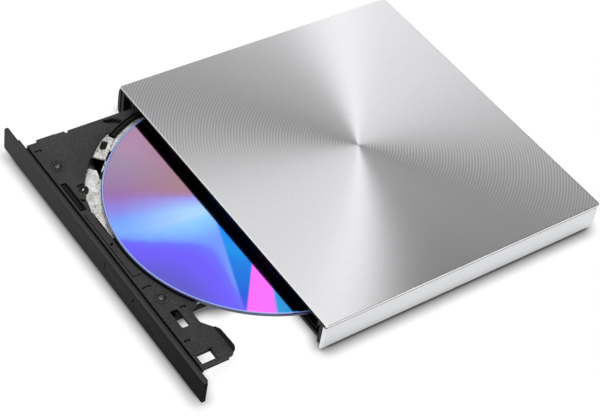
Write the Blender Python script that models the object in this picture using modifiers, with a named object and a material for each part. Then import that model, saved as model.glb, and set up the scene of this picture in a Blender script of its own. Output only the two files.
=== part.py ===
"""External optical drive: a slim disc writer with its loading tray pushed partly out of the front.

Run with: blender --background --python part.py

Every length below is in millimetres and is turned into metres where meshes and objects are made.
+Z is up, +X runs along the front bezel, and -Y points to the front, where the tray comes out.
Housing coordinates have their origin on the desk under the middle of the closed drive. The empties
named drive_frame, tray_slide and so on carry each moving group, so a piece of the tray is drawn
where it lies when the tray is shut, and the tray_slide empty then moves it out.
"""

import math

import bmesh
import bpy
from mathutils import Matrix, Vector

MM = 0.001
GAP = 0.3

# Closed drive, overall.
WIDTH = 142.5
DEPTH = 135.5
HEIGHT = 13.9

# How far the tray stands out at rest, and all the way.
TRAY_OUT = 49.0
RAIL_SHARE = 0.5

# Housing: plate over a shell that bulges a little past it.
FACE_Y = -DEPTH / 2
BACK_Y = DEPTH / 2
PLATE_FRONT = FACE_Y + 1.75
PLATE_INSET = 0.2
PLATE_LOW = 12.7
PLATE_CORNER = 1.2
PLATE_CHAMFER = 0.35
SHELL_LOW = 0.9
SHELL_HIGH = PLATE_LOW - GAP
SHELL_WALL = 1.65
FLOOR_TOP = 2.2
FLOOR_FRONT = -63.0
FOOT_AT = (58.0, 52.0)
FOOT_R = 5.0
SCREW_AT = (67.3, 44.0)

# Inner drive: a sheet metal pan, deep on the left and shallow on the right of STEP_X.
CASE_X = 63.5
CASE_LEFT = -64.8
CASE_FRONT = -62.9
CASE_BACK = 63.2
CASE_LOW = 2.5
CASE_HIGH = 11.1
SHELF_LOW = 3.4
STEP_X = 41.0
SHEET = 0.5
COVER_TOP = 11.9

# Tray.
BEZEL_LOW = 1.9
BEZEL_HIGH = 12.1
DECK_LOW = 6.9
DECK_TOP = 7.8
DECK_FRONT = -62.1
DECK_BACK = 54.0
DECK_LEFT = -63.7
DECK_RIGHT = 36.3
WING_RIGHT = 61.9
WING_BACK = -48.6
LEDGE_LOW = 5.9
WALL_LOW = 3.8
WALL_X = (-59.9, 36.1)
PAN_BACK = 33.6
RECESS_R = 64.8
FRONT_R = 60.9
POCKET = (210.3, 262.0)
POCKET_R = 66.2
LEDGE_R = 58.8
BODY_TOP = 7.6
BUTTON_X = (5.4, 24.9)
BUTTON_Z = (6.3, 9.1)

# Disc and its mechanism. The sled runs from the spindle towards the tray's front left corner.
SPINDLE = (1.5, 2.25)
DISC_R = 60.0
DISC_HOLE_R = 7.5
DISC_LOW = 7.4
DISC_TOP = 8.6
SLED_TURN = math.radians(225)
PICKUP_REST_R = 40.0
ROD_V = 12.0
ROD_Z = 4.75
SCREW_V = -17.0
GROMMETS = ((-32.8, -54.8), (-52.0, 24.0), (29.0, 24.0))
TRAY_SCREWS = {"left": (-47.6, -57.3), "right": (27.7, -57.5)}

# Data socket in the rear wall.
SOCKET_X = -20.0
SOCKET_Z = 7.55
SOCKET_SIZE = (8.94, 3.26)


# ---------------------------------------------------------------- scene and materials

def clear_scene():
    for obj in list(bpy.data.objects):
        bpy.data.objects.remove(obj, do_unlink=True)


def make_collection(name):
    collection = bpy.data.collections.new(name)
    bpy.context.scene.collection.children.link(collection)
    return collection


def make_material(name, colour, roughness, metallic=0.0):
    material = bpy.data.materials.new(name)
    material.use_nodes = True
    shader = material.node_tree.nodes["Principled BSDF"]
    shader.inputs["Base Color"].default_value = (*colour, 1.0)
    shader.inputs["Roughness"].default_value = roughness
    shader.inputs["Metallic"].default_value = metallic
    return material


clear_scene()
PARTS = make_collection("external_optical_drive")
CUTTERS = make_collection("cutters")

SILVER = make_material("ring_finish_silver", (0.72, 0.72, 0.73), 0.3, 1.0)
SHELL_SILVER = make_material("shell_silver", (0.75, 0.75, 0.76), 0.4, 0.6)
BLACK = make_material("black_plastic", (0.03, 0.03, 0.032), 0.55)
BEZEL_BLACK = make_material("bezel_black", (0.045, 0.045, 0.047), 0.45)
RUBBER = make_material("black_rubber", (0.02, 0.02, 0.02), 0.8)
ZINC = make_material("zinc_sheet", (0.62, 0.63, 0.64), 0.4, 1.0)
STEEL = make_material("bright_steel", (0.7, 0.7, 0.71), 0.2, 1.0)
BOARD_GREEN = make_material("board_green", (0.03, 0.16, 0.08), 0.45)
CHIP_BLACK = make_material("chip_black", (0.02, 0.02, 0.022), 0.4)
DISC_DYE = make_material("disc_violet", (0.45, 0.35, 0.75), 0.1, 0.9)
LENS_BLUE = make_material("lens_blue", (0.2, 0.3, 0.6), 0.05)
AMBER = make_material("flex_amber", (0.55, 0.25, 0.05), 0.4)


# ---------------------------------------------------------------- mesh helpers

def add_empty(name, place, parent=None, turn=0.0):
    empty = bpy.data.objects.new(name, None)
    empty.empty_display_size = 0.01
    empty.parent = parent
    empty.location = Vector(place) * MM
    empty.rotation_euler.z = turn
    PARTS.objects.link(empty)
    return empty


def add_object(name, mesh, material, parent):
    """A visible piece, or a cutter when it has no material."""
    obj = bpy.data.objects.new(name, mesh)
    obj.parent = parent
    if material:
        mesh.materials.append(material)
        PARTS.objects.link(obj)
    else:
        CUTTERS.objects.link(obj)
        obj.hide_render = True
        obj.display_type = "WIRE"
    return obj


def mesh_from(bm, name):
    bmesh.ops.recalc_face_normals(bm, faces=bm.faces)
    mesh = bpy.data.meshes.new(name)
    bm.to_mesh(mesh)
    bm.free()
    return mesh


def smooth(obj, angle=30.0):
    obj.data.shade_smooth()
    obj.data.set_sharp_from_angle(angle=math.radians(angle))


def box_bmesh(low, high):
    low, high = Vector(low) * MM, Vector(high) * MM
    bm = bmesh.new()
    bmesh.ops.create_cube(bm, size=1.0)
    bmesh.ops.scale(bm, vec=high - low, verts=bm.verts)
    bmesh.ops.translate(bm, vec=(low + high) / 2, verts=bm.verts)
    return bm


def edges_along(bm, axis, at=None):
    """The edges parallel to an axis; at = (axis, value in mm) keeps those lying at that value."""
    found = []
    for edge in bm.edges:
        run = edge.verts[1].co - edge.verts[0].co
        if abs(run[axis]) < 0.999 * run.length:
            continue
        if at is None or abs(edge.verts[0].co[at[0]] - at[1] * MM) < 1e-6:
            found.append(edge)
    return found


def bevel_edges(bm, edges, width, segments):
    bmesh.ops.bevel(
        bm, geom=edges, offset=width * MM, segments=segments, profile=0.5, affect="EDGES"
    )


def box(name, low, high, material, parent, corner=0.0):
    """A block, its upright edges rounded by corner."""
    bm = box_bmesh(low, high)
    if corner:
        bevel_edges(bm, edges_along(bm, 2), corner, 3)
    return add_object(name, mesh_from(bm, name), material, parent)


def cylinder(name, start, end, radius, material, parent, sides=16):
    """A round bar from start to end."""
    start, end = Vector(start) * MM, Vector(end) * MM
    run = end - start
    bm = bmesh.new()
    bmesh.ops.create_cone(
        bm, cap_ends=True, segments=sides, depth=run.length, radius1=radius * MM,
        radius2=radius * MM,
    )
    turn = run.to_track_quat("Z", "Y").to_matrix().to_4x4()
    place = Matrix.Translation((start + end) / 2) @ turn
    bmesh.ops.transform(bm, matrix=place, verts=bm.verts)
    obj = add_object(name, mesh_from(bm, name), material, parent)
    smooth(obj, 40)
    return obj


def turned(name, profile, material, parent, steps=32):
    """A profile of (radius, z) points, down the outer side and back, spun about the local Z axis."""
    bm = bmesh.new()
    verts = [bm.verts.new((radius * MM, 0, z * MM)) for radius, z in profile]
    for first, second in zip(verts, verts[1:]):
        bm.edges.new((first, second))
    if profile[0][0] > 0:
        bm.edges.new((verts[-1], verts[0]))
    mesh = bpy.data.meshes.new(name)
    bm.to_mesh(mesh)
    bm.free()
    obj = add_object(name, mesh, material, parent)
    screw = obj.modifiers.new("spin", "SCREW")
    screw.steps = screw.render_steps = steps
    screw.use_merge_vertices = True
    screw.merge_threshold = 0.00001
    screw.use_smooth_shade = False
    return obj


def arc(centre, radius, start, end, steps):
    """Points on a circle between two angles in degrees."""
    angles = [math.radians(start + (end - start) * i / steps) for i in range(steps + 1)]
    return [(centre[0] + radius * math.cos(a), centre[1] + radius * math.sin(a)) for a in angles]


def circle(centre, radius, sides=20):
    return arc(centre, radius, 0, 360, sides)[:-1]


def rectangle(low, high):
    return [low, (high[0], low[1]), high, (low[0], high[1])]


def rounded(points, radius, steps=3):
    """A polygon with every corner replaced by an arc of the given radius."""
    result = []
    for i, point in enumerate(points):
        here = Vector(point)
        before = (Vector(points[i - 1]) - here).normalized()
        after = (Vector(points[(i + 1) % len(points)]) - here).normalized()
        half = before.angle(after) / 2
        centre = here + (before + after).normalized() * radius / math.sin(half)
        first = here + before * radius / math.tan(half) - centre
        last = here + after * radius / math.tan(half) - centre
        swing = first.angle_signed(last)
        for step in range(steps + 1):
            spun = Matrix.Rotation(-swing * step / steps, 2) @ first
            result.append(tuple(centre + spun))
    return result


def plate(name, outline, low, high, material, parent, holes=()):
    """A flat outline with holes, made thick between two heights."""
    curve = bpy.data.curves.new(name, "CURVE")
    curve.dimensions = "2D"
    curve.fill_mode = "BOTH"
    curve.extrude = (high - low) / 2 * MM
    for loop in (outline, *holes):
        spline = curve.splines.new("POLY")
        spline.points.add(len(loop) - 1)
        for point, (x, y) in zip(spline.points, loop):
            point.co = (x * MM, y * MM, 0, 1)
        spline.use_cyclic_u = True
    flat = bpy.data.objects.new(name + "_outline", curve)
    PARTS.objects.link(flat)
    bpy.context.view_layer.update()
    graph = bpy.context.evaluated_depsgraph_get()
    mesh = bpy.data.meshes.new_from_object(flat.evaluated_get(graph))
    bpy.data.objects.remove(flat, do_unlink=True)
    bm = bmesh.new()
    bm.from_mesh(mesh)
    bpy.data.meshes.remove(mesh)
    bmesh.ops.translate(bm, vec=(0, 0, (low + high) / 2 * MM), verts=bm.verts)
    bmesh.ops.remove_doubles(bm, verts=bm.verts, dist=1e-7)
    return add_object(name, mesh_from(bm, name), material, parent)


def bent_sheet(name, section, front, back, material, parent, rear_wall=False):
    """An open section, anticlockwise from the front, drawn out along Y and thickened inwards."""
    bm = bmesh.new()
    rows = []
    for y in (front, back):
        rows.append([bm.verts.new((x * MM, y * MM, z * MM)) for x, z in section])
    for i in range(len(section) - 1):
        bm.faces.new((rows[0][i], rows[1][i], rows[1][i + 1], rows[0][i + 1]))
    if rear_wall:
        bm.faces.new(list(reversed(rows[1])))
    mesh = bpy.data.meshes.new(name)
    bm.to_mesh(mesh)
    bm.free()
    obj = add_object(name, mesh, material, parent)
    sheet = obj.modifiers.new("sheet", "SOLIDIFY")
    sheet.thickness = SHEET * MM
    sheet.offset = -1.0
    sheet.use_even_offset = True
    return obj


def combine(obj, other, operation):
    """A Boolean of obj with a helper, which joins the cutters."""
    modifier = obj.modifiers.new(other.name, "BOOLEAN")
    modifier.operation = operation
    modifier.solver = "EXACT"
    modifier.object = other
    other.hide_render = True
    other.display_type = "WIRE"


def cut_box(obj, low, high, parent):
    combine(obj, box(obj.name + "_cut", low, high, None, parent), "DIFFERENCE")


def cut_cylinder(obj, start, end, radius, parent, sides=16):
    cutter = cylinder(obj.name + "_cut", start, end, radius, None, parent, sides)
    combine(obj, cutter, "DIFFERENCE")


def join_box(obj, low, high, parent):
    combine(obj, box(obj.name + "_rib", low, high, None, parent), "UNION")


def join_cylinder(obj, start, end, radius, parent, sides=16):
    rib = cylinder(obj.name + "_rib", start, end, radius, None, parent, sides)
    combine(obj, rib, "UNION")


# ---------------------------------------------------------------- frames that carry the pieces

FRAME = add_empty("drive_frame", (0, TRAY_OUT / 2, 0))
TRAY = add_empty("tray_slide", (0, -TRAY_OUT, 0), FRAME)
RAILS = {
    "left": add_empty("rail_slide_left", (0, -TRAY_OUT * RAIL_SHARE, 0), FRAME),
    "right": add_empty("rail_slide_right", (0, -TRAY_OUT * RAIL_SHARE, 0), FRAME),
}
AXIS = add_empty("spindle_axis", (*SPINDLE, 0), TRAY)
SLED = add_empty("sled_line", (*SPINDLE, 0), TRAY, SLED_TURN)
PICKUP = add_empty("pickup_slide", (PICKUP_REST_R, 0, 0), SLED)


def on_tray(u, v):
    """Tray coordinates of a point along (u) and across (v) the sled line."""
    turn = Matrix.Rotation(SLED_TURN, 2)
    return tuple(Vector(SPINDLE) + turn @ Vector((u, v)))


# ---------------------------------------------------------------- housing

def make_top_plate():
    edge = WIDTH / 2 - PLATE_INSET
    bm = box_bmesh((-edge, PLATE_FRONT, PLATE_LOW), (edge, BACK_Y - 0.3, HEIGHT))
    bevel_edges(bm, edges_along(bm, 2), PLATE_CORNER, 4)
    rim = [e for e in bm.edges if all(abs(v.co.z - HEIGHT * MM) < 1e-6 for v in e.verts)]
    bevel_edges(bm, rim, PLATE_CHAMFER, 1)
    add_object("top_plate", mesh_from(bm, "top_plate"), SILVER, FRAME)


def shell_section(inset):
    """Plan outline of the shell, drawn in by inset on three sides and square at the front."""
    x, y, r = WIDTH / 2 - inset, BACK_Y - inset, 1.8
    right = arc((x - r, y - r), r, 0, 90, 4)
    left = arc((r - x, y - r), r, 90, 180, 4)
    return [(x, PLATE_FRONT), *right, *left, (-x, PLATE_FRONT)]


def shell_inset(z):
    """Side profile: a shallow bulge, with a rounded lower edge of radius EDGE."""
    edge, middle, half_height, bulge = 1.5, 7.0, 5.5, 0.35
    inset = bulge * ((z - middle) / half_height) ** 2
    if z < SHELL_LOW + edge:
        rise = (SHELL_LOW + edge - z) / edge
        inset += edge * (1 - math.sqrt(1 - rise * rise))
    return inset


def make_housing_shell():
    levels = [SHELL_LOW, 1.0, 1.25, 1.7, 2.4, 4.0, 5.5, 7.0, 8.5, 10.0, 11.3, SHELL_HIGH]
    bm = bmesh.new()
    rings = []
    for z in levels:
        inset = min(shell_inset(z), 1.5)
        rings.append([bm.verts.new((x * MM, y * MM, z * MM)) for x, y in shell_section(inset)])
    for low, high in zip(rings, rings[1:]):
        for i in range(len(low)):
            j = (i + 1) % len(low)
            bm.faces.new((low[i], low[j], high[j], high[i]))
    bm.faces.new(rings[0])
    bm.faces.new(rings[-1])
    shell = add_object("housing_shell", mesh_from(bm, "housing_shell"), SHELL_SILVER, FRAME)
    smooth(shell)
    inner = WIDTH / 2 - SHELL_WALL
    cut_box(shell, (-inner, -80, FLOOR_TOP), (inner, BACK_Y - SHELL_WALL, 20), FRAME)
    cut_box(shell, (-inner, -80, -5), (inner, FLOOR_FRONT, FLOOR_TOP + 1), FRAME)
    socket_x, socket_z = SOCKET_SIZE[0] / 2 + GAP, SOCKET_SIZE[1] / 2 + GAP
    cut_box(
        shell, (SOCKET_X - socket_x, BACK_Y - 4, SOCKET_Z - socket_z),
        (SOCKET_X + socket_x, BACK_Y + 4, SOCKET_Z + socket_z), FRAME,
    )
    for x, y in four_corners(FOOT_AT):
        cut_cylinder(shell, (x, y, -1), (x, y, 1.4), FOOT_R + GAP, FRAME, 24)
    for x, y in four_corners(SCREW_AT):
        cut_cylinder(shell, (x, y, -1), (x, y, 1.75), 2.1, FRAME)
        cut_cylinder(shell, (x, y, 1), (x, y, 4), 1.2, FRAME)


def four_corners(at):
    return [(sx * at[0], sy * at[1]) for sy in (-1, 1) for sx in (-1, 1)]


def corner_name(stem, x, y):
    return f"{stem}_{'front' if y < 0 else 'rear'}_{'left' if x < 0 else 'right'}"


def make_feet_and_screws():
    for x, y in four_corners(FOOT_AT):
        place = add_empty(corner_name("foot_place", x, y), (x, y, 0), FRAME)
        foot = [(FOOT_R, 1.1), (FOOT_R, 0.4), (FOOT_R - 0.4, 0), (0, 0)]
        turned(corner_name("foot", x, y), [(0, 1.1), *foot], RUBBER, place, 24)
    for x, y in four_corners(SCREW_AT):
        place = add_empty(corner_name("screw_place", x, y), (x, y, 0), FRAME)
        screw = [(0, 6.5), (0.9, 6.5), (0.9, 1.45), (1.8, 1.45), (1.8, 1.05), (1.5, 0.95), (0, 0.95)]
        turned(corner_name("frame_screw", x, y), screw, STEEL, place, 12)


def make_inner_frame():
    """The black frame between shell and drive: two side bars, their front tongues and a rear bar."""
    outer, tongue = 69.3, 67.5
    front, rear = PLATE_FRONT + GAP, BACK_Y - SHELL_WALL - GAP
    outline = []
    for side, bar in ((1, CASE_X + 1.1), (-1, -CASE_LEFT + 1.1)):
        half = [
            (outer, rear), (outer, front), (tongue, front), (tongue, CASE_FRONT), (bar, CASE_FRONT),
            (bar, rear - 0.9),
        ]
        outline += [(side * x, y) for x, y in half[::side]]
    frame = plate("inner_frame", outline, CASE_LOW, SHELL_HIGH, BLACK, FRAME)
    cut_box(
        frame, (SOCKET_X - 4.9, rear - 3, SOCKET_Z - 2.0), (SOCKET_X + 4.9, rear + 3, SOCKET_Z + 2.0),
        FRAME,
    )
    for x, y in four_corners(SCREW_AT):
        cut_cylinder(frame, (x, y, 0), (x, y, 7.0), 1.2, FRAME)


# ---------------------------------------------------------------- socket and bridge board

def stadium(width, height):
    """A socket outline in its own plane: a flat oval."""
    r = height / 2
    x = width / 2 - r
    return arc((x, 0), r, -90, 90, 6) + arc((-x, 0), r, 90, 270, 6)


def make_socket():
    shell_y = (60.6, BACK_Y - 0.4)
    place = add_empty("socket_place", (SOCKET_X, sum(shell_y) / 2, SOCKET_Z), FRAME)
    place.rotation_euler.x = math.radians(90)
    half = (shell_y[1] - shell_y[0]) / 2
    inside = stadium(SOCKET_SIZE[0] - 0.6, SOCKET_SIZE[1] - 0.6)
    plate("usb_socket", stadium(*SOCKET_SIZE), -half, half, STEEL, place, [inside])
    tongue = box(
        "usb_tongue", (SOCKET_X - 3.2, 60.9, SOCKET_Z - 0.35), (SOCKET_X + 3.2, 66.3, SOCKET_Z + 0.35),
        CHIP_BLACK, FRAME,
    )
    join_box(tongue, (SOCKET_X - 3.2, 60.8, SOCKET_Z - 0.9), (SOCKET_X + 3.2, 61.8, SOCKET_Z + 0.9), FRAME)


def make_bridge_board():
    """Board and its plug, kept under the path of the disc."""
    outline = rounded(rectangle((-40, 55.8), (40, 62.3)), 0.8)
    plate("bridge_board", outline, 4.6, 5.6, BOARD_GREEN, FRAME)
    box("bridge_chip", (-6, 56.6, 5.9), (-1, 61.6, 6.8), CHIP_BLACK, FRAME)
    plug = box("board_connector", (14, 57.4, 5.9), (34, 61.4, 7.0), CHIP_BLACK, FRAME)
    cut_box(plug, (15, 57, 6.2), (33, 59.4, 6.7), FRAME)


# ---------------------------------------------------------------- inner drive, the part that stays

def make_case():
    section = [
        (CASE_LEFT, CASE_HIGH), (CASE_LEFT, CASE_LOW), (STEP_X, CASE_LOW),
        (STEP_X, SHELF_LOW), (CASE_X, SHELF_LOW), (CASE_X, CASE_HIGH),
    ]
    case = bent_sheet("drive_case", section, CASE_FRONT, CASE_BACK, ZINC, FRAME, rear_wall=True)
    cut_box(
        case, (SOCKET_X - 5.2, CASE_BACK - 3, SOCKET_Z - 2.1),
        (SOCKET_X + 5.2, CASE_BACK + 3, SOCKET_Z + 2.1), FRAME,
    )
    left, right = CASE_LEFT - 0.8, CASE_X + 0.8
    section = [(right, 6.0), (right, COVER_TOP), (left, COVER_TOP), (left, 6.0)]
    bent_sheet("drive_cover", section, CASE_FRONT, CASE_BACK + 0.5, ZINC, FRAME)


def rail_section(side, inset, reach, low, high, sheet):
    """A channel that opens towards the tray: (x, z) outline measured from the case wall."""
    wall, way = (CASE_LEFT + SHEET, 1) if side == "left" else (STEP_X - SHEET, -1)
    points = [
        (inset, low), (reach, low), (reach, low + sheet), (inset + sheet, low + sheet),
        (inset + sheet, high - sheet), (reach, high - sheet), (reach, high), (inset, high),
    ]
    return [(wall + way * x, z) for x, z in points]


def make_rail(name, section, front, back, parent):
    """A channel section drawn out along Y."""
    bm = bmesh.new()
    verts = [bm.verts.new((x * MM, front * MM, z * MM)) for x, z in section]
    face = bm.faces.new(verts)
    drawn = bmesh.ops.extrude_face_region(bm, geom=[face])["geom"]
    moved = [item for item in drawn if isinstance(item, bmesh.types.BMVert)]
    bmesh.ops.translate(bm, vec=(0, (back - front) * MM, 0), verts=moved)
    add_object(name, mesh_from(bm, name), ZINC, parent)


def make_rails():
    for side, slide in RAILS.items():
        outer = rail_section(side, 0.3, 2.4, 3.3, 6.3, 0.4)
        make_rail("outer_rail_" + side, outer, -62.0, 54.0, FRAME)
        inner = rail_section(side, 1.0, 3.1, 4.0, 5.6, 0.35)
        make_rail("slider_rail_" + side, inner, -58.0, 51.0, slide)


def make_main_board():
    plate("main_board", rounded(rectangle((-44, 36.5), (30, 55.0)), 1.0), 3.3, 4.1, BOARD_GREEN, FRAME)
    box("controller_chip", (-20, 40, 4.4), (-9, 51, 5.5), CHIP_BLACK, FRAME)
    plug = box("drive_connector", (12, 49.0, 4.4), (34, 55.4, 7.0), CHIP_BLACK, FRAME)
    cut_box(plug, (14, 53.4, 5.1), (32, 58, 6.3), FRAME)
    cylinder("lock_pin", (53.6, -52, 4.2), (53.6, -52, 6.2), 0.8, STEEL, FRAME)


# ---------------------------------------------------------------- tray

def deck_outline():
    """Deck seen from above, with the disc recess as a bay in it and the wing on the right."""
    bay_left = SPINDLE[0] - RECESS_R + 2.6
    side = math.degrees(math.acos((bay_left - SPINDLE[0]) / RECESS_R))
    right = math.degrees(math.acos((DECK_RIGHT - SPINDLE[0]) / FRONT_R))
    back = math.degrees(math.asin((DECK_BACK - SPINDLE[1]) / RECESS_R))
    first, last = POCKET
    front_bay = arc(SPINDLE, FRONT_R, -right, last - 360, 12)
    for step in range(1, 9):
        angle = last + (first - last) * step / 8
        radius = FRONT_R + (POCKET_R - FRONT_R) * min(1.0, step / 4)
        front_bay += arc(SPINDLE, radius, angle, angle, 1)[:1]
    front_bay += arc(SPINDLE, RECESS_R, first - 0.5, 360 - side, 6)
    rear_bay = arc(SPINDLE, RECESS_R, side, 180 - back, 8)
    wing = [
        (WING_RIGHT, DECK_FRONT), *arc((WING_RIGHT - 1.7, WING_BACK - 1.7), 1.7, 0, 90, 3),
        *arc((48.9, WING_BACK - 3.3), 3.3, 90, 135, 2), *arc((43.0, -49.0), 2.6, -45, -90, 2),
        *arc((DECK_RIGHT + 4.3, -47.3), 4.3, -90, -172, 4),
    ]
    left = [
        (DECK_LEFT, DECK_BACK), (DECK_LEFT, -44.4), (DECK_LEFT + 1.1, -44.7),
        (DECK_LEFT + 1.1, -45.6), (DECK_LEFT, -45.9), (DECK_LEFT, -57.9),
        (DECK_LEFT + 1.1, -58.3), (DECK_LEFT + 1.1, DECK_FRONT),
    ]
    return wing + front_bay + rear_bay + left


def make_tray():
    holes = [
        rectangle((34.8, -58.6), (43.3, -55.4)), rectangle((55.0, -61.2), (60.3, -54.4)),
        *[circle(at, 1.0, 12) for at in TRAY_SCREWS.values()],
        [(-61.9, -29.0), (-60.4, -27.9), (-58.7, -24.0), (-59.8, -23.2), (-61.6, -25.8)],
    ]
    tray = plate("tray", deck_outline(), DECK_LOW, DECK_TOP, BLACK, TRAY, holes)
    rim = arc(SPINDLE, FRONT_R + 0.4, POCKET[1], 306, 10)
    ledge = [*rim, *arc(SPINDLE, LEDGE_R, 306, POCKET[1], 10)]
    combine(tray, plate("tray_ledge", ledge, 6.8, 7.1, None, TRAY), "UNION")
    band = [*arc(SPINDLE, RECESS_R + 0.5, 196, POCKET[0] + 1, 4), *arc(SPINDLE, 62.5, POCKET[0] + 1, 196, 4)]
    combine(tray, plate("tray_band", band, 6.5, 7.0, None, TRAY), "UNION")
    x, y = GROMMETS[0]
    cut_cylinder(tray, (x, y, 5), (x, y, 9), 2.75, TRAY)
    left, right = WALL_X
    top = DECK_LOW + 0.1
    join_box(tray, (left, -60.9, WALL_LOW), (left + 0.7, 50.0, top), TRAY)
    join_box(tray, (left + 0.1, -60.9, WALL_LOW), (4.0, -60.2, top), TRAY)
    join_box(tray, (right - 0.7, -57.0, WALL_LOW), (right, 50.0, top), TRAY)
    join_box(tray, (left + 0.1, PAN_BACK - 0.7, WALL_LOW), (right - 0.1, PAN_BACK, top - 0.2), TRAY)
    join_box(tray, (left - 2.7, -57.0, 4.55), (left + 0.1, 50.0, 5.05), TRAY)
    join_box(tray, (right - 0.1, -57.0, 4.55), (right + 2.7, 50.0, 5.05), TRAY)
    join_box(tray, (right - 0.2, -58.6, WALL_LOW), (37.0, -57.0, top), TRAY)
    join_box(tray, (right - 0.1, -58.9, 6.6), (38.7, -55.1, top), TRAY)
    join_box(tray, (WING_RIGHT - 0.7, -61.0, 5.6), (WING_RIGHT - 0.1, WING_BACK - 2.2, top), TRAY)
    join_box(tray, (49.5, WING_BACK - 0.6, LEDGE_LOW), (59.0, WING_BACK + 2.2, top), TRAY)
    join_box(tray, (-52.5, 36.2, 4.4), (-47.5, 41.0, top), TRAY)
    cut_cylinder(tray, (-50, 35, 5.7), (-50, 42, 5.7), 1.05, TRAY, 12)
    join_cylinder(tray, (47.3, -56.2, 4.6), (47.3, -56.2, top), 0.9, TRAY, 12)


def make_tray_cover():
    """Thin plate under the tray, with a standoff below each rubber grommet."""
    cover = plate(
        "tray_bottom_cover", rounded(rectangle((-58.4, -60.8), (35.9, 33.5)), 1.0), 3.3, 3.5, ZINC, TRAY
    )
    for x, y in (*GROMMETS, *TRAY_SCREWS.values()):
        join_cylinder(cover, (x, y, 3.4), (x, y, 4.6), 1.8, TRAY, 12)


def make_tray_screws():
    for side, at in TRAY_SCREWS.items():
        place = add_empty("tray_screw_place_" + side, (*at, 0), TRAY)
        screw = [(0, 8.5), (1.0, 8.4), (1.3, 8.1), (0.7, 8.1), (0.7, 5.0), (0, 5.0)]
        turned("tray_screw_" + side, screw, STEEL, place, 12)


def make_bezel():
    """Front face with a thin flange past the housing walls and a deeper body between them."""
    flange_x, body_x = WIDTH / 2 - 0.15, 67.2
    bm = box_bmesh((-flange_x, FACE_Y, BEZEL_LOW), (flange_x, FACE_Y + 1.6, BEZEL_HIGH))
    bevel_edges(bm, edges_along(bm, 1, (2, BEZEL_LOW)), 1.2, 3)
    bevel_edges(bm, edges_along(bm, 0, (1, FACE_Y)), 0.35, 2)
    bezel = add_object("front_bezel", mesh_from(bm, "front_bezel"), BEZEL_BLACK, TRAY)
    join_box(bezel, (-body_x, FACE_Y + 1.5, 2.5), (body_x, -63.2, BODY_TOP), TRAY)
    for x in (-50, -12, 32, 58):
        join_box(bezel, (x - 4, -63.5, 5.2), (x + 4, -61.3, 6.5), TRAY)
    cut_box(
        bezel, (BUTTON_X[0] - GAP, FACE_Y - 1, BUTTON_Z[0] - GAP),
        (BUTTON_X[1] + GAP, -60, BUTTON_Z[1] + GAP), TRAY,
    )
    cut_cylinder(bezel, (36.7, FACE_Y - 1, 6.6), (36.7, -60, 6.6), 0.6, TRAY, 12)


def make_eject_button():
    middle = (sum(BUTTON_X) / 2, FACE_Y, sum(BUTTON_Z) / 2)
    place = add_empty("button_press", middle, TRAY)
    half_x, half_z = (BUTTON_X[1] - BUTTON_X[0]) / 2, (BUTTON_Z[1] - BUTTON_Z[0]) / 2
    bm = box_bmesh((-half_x, 0.05, -half_z), (half_x, 3.2, half_z))
    bevel_edges(bm, edges_along(bm, 0, (1, 0.05)), 0.3, 2)
    button = add_object("eject_button", mesh_from(bm, "eject_button"), BEZEL_BLACK, place)
    join_box(button, (-2.0, 3.0, -1.0), (2.0, 4.9, 0.4), place)
    box("switch_board", (8, -59.9, 4.1), (22, -53.0, 4.7), BOARD_GREEN, TRAY)
    switch = box("eject_switch", (12.6, -60.6, 5.0), (17.6, -56.6, 6.5), CHIP_BLACK, TRAY)
    join_box(switch, (14.1, -62.3, 5.4), (16.1, -60.5, 6.4), TRAY)


def make_latch():
    """Lever on the wing that reaches for the case's lock pin, with its spring and solenoid."""
    place = add_empty("latch_pivot", (47.3, -56.2, 0), TRAY)
    outline = [
        *arc((0, 0), 1.9, 100, 350, 8), (5.0, 0.6), (5.2, 4.4), (4.0, 4.6), (3.4, 1.8), (0.6, 1.9),
    ]
    plate("latch_lever", outline, 4.9, 6.1, BLACK, place, [circle((0, 0), 1.2, 12)])
    coil(
        "latch_spring", place, mean_radius=1.5, wire=0.12, pitch=0.5, turns=0.9, start=(0, 0, 6.5),
        axis="Z", level=True,
    )
    box("eject_solenoid", (45.6, -61.2, 4.2), (54.4, -58.8, 6.6), CHIP_BLACK, TRAY, corner=0.4)


def coil(name, parent, mean_radius, wire, pitch, turns, start, axis, level=False):
    """Round wire wound about an axis; a level coil is a single flat split ring."""
    curve = bpy.data.curves.new(name, "CURVE")
    curve.dimensions = "3D"
    curve.bevel_depth = wire * MM
    curve.bevel_resolution = 1
    curve.use_fill_caps = True
    spline = curve.splines.new("POLY")
    count = int(turns * 12) + 1
    spline.points.add(count - 1)
    for i, point in enumerate(spline.points):
        angle = math.tau * i / 12
        across, up = mean_radius * math.cos(angle), mean_radius * math.sin(angle)
        along = 0 if level else pitch * i / 12
        local = (across, up, along) if axis == "Z" else (across, along, up)
        point.co = (*((Vector(local) + Vector(start)) * MM), 1)
    obj = bpy.data.objects.new(name, curve)
    obj.parent = parent
    curve.materials.append(STEEL)
    PARTS.objects.link(obj)


def make_ejector():
    """Sprung plunger at the back of the tray that starts it out of the case."""
    place = add_empty("plunger_slide", (-50, 0, 5.7), TRAY)
    plunger = cylinder("ejector_plunger", (0, 38.9, 0), (0, 54.4, 0), 0.7, BLACK, place, 12)
    join_cylinder(plunger, (0, 53.4, 0), (0, 54.4, 0), 1.1, place, 12)
    coil(
        "ejector_spring", place, mean_radius=1.15, wire=0.12, pitch=1.1, turns=6, start=(0, 41.4, 0),
        axis="Y",
    )
    plate("flex_cable", rounded(rectangle((4, 24), (16, 32)), 0.8), 5.0, 5.2, AMBER, TRAY)


# ---------------------------------------------------------------- disc mechanism on the tray

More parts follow.
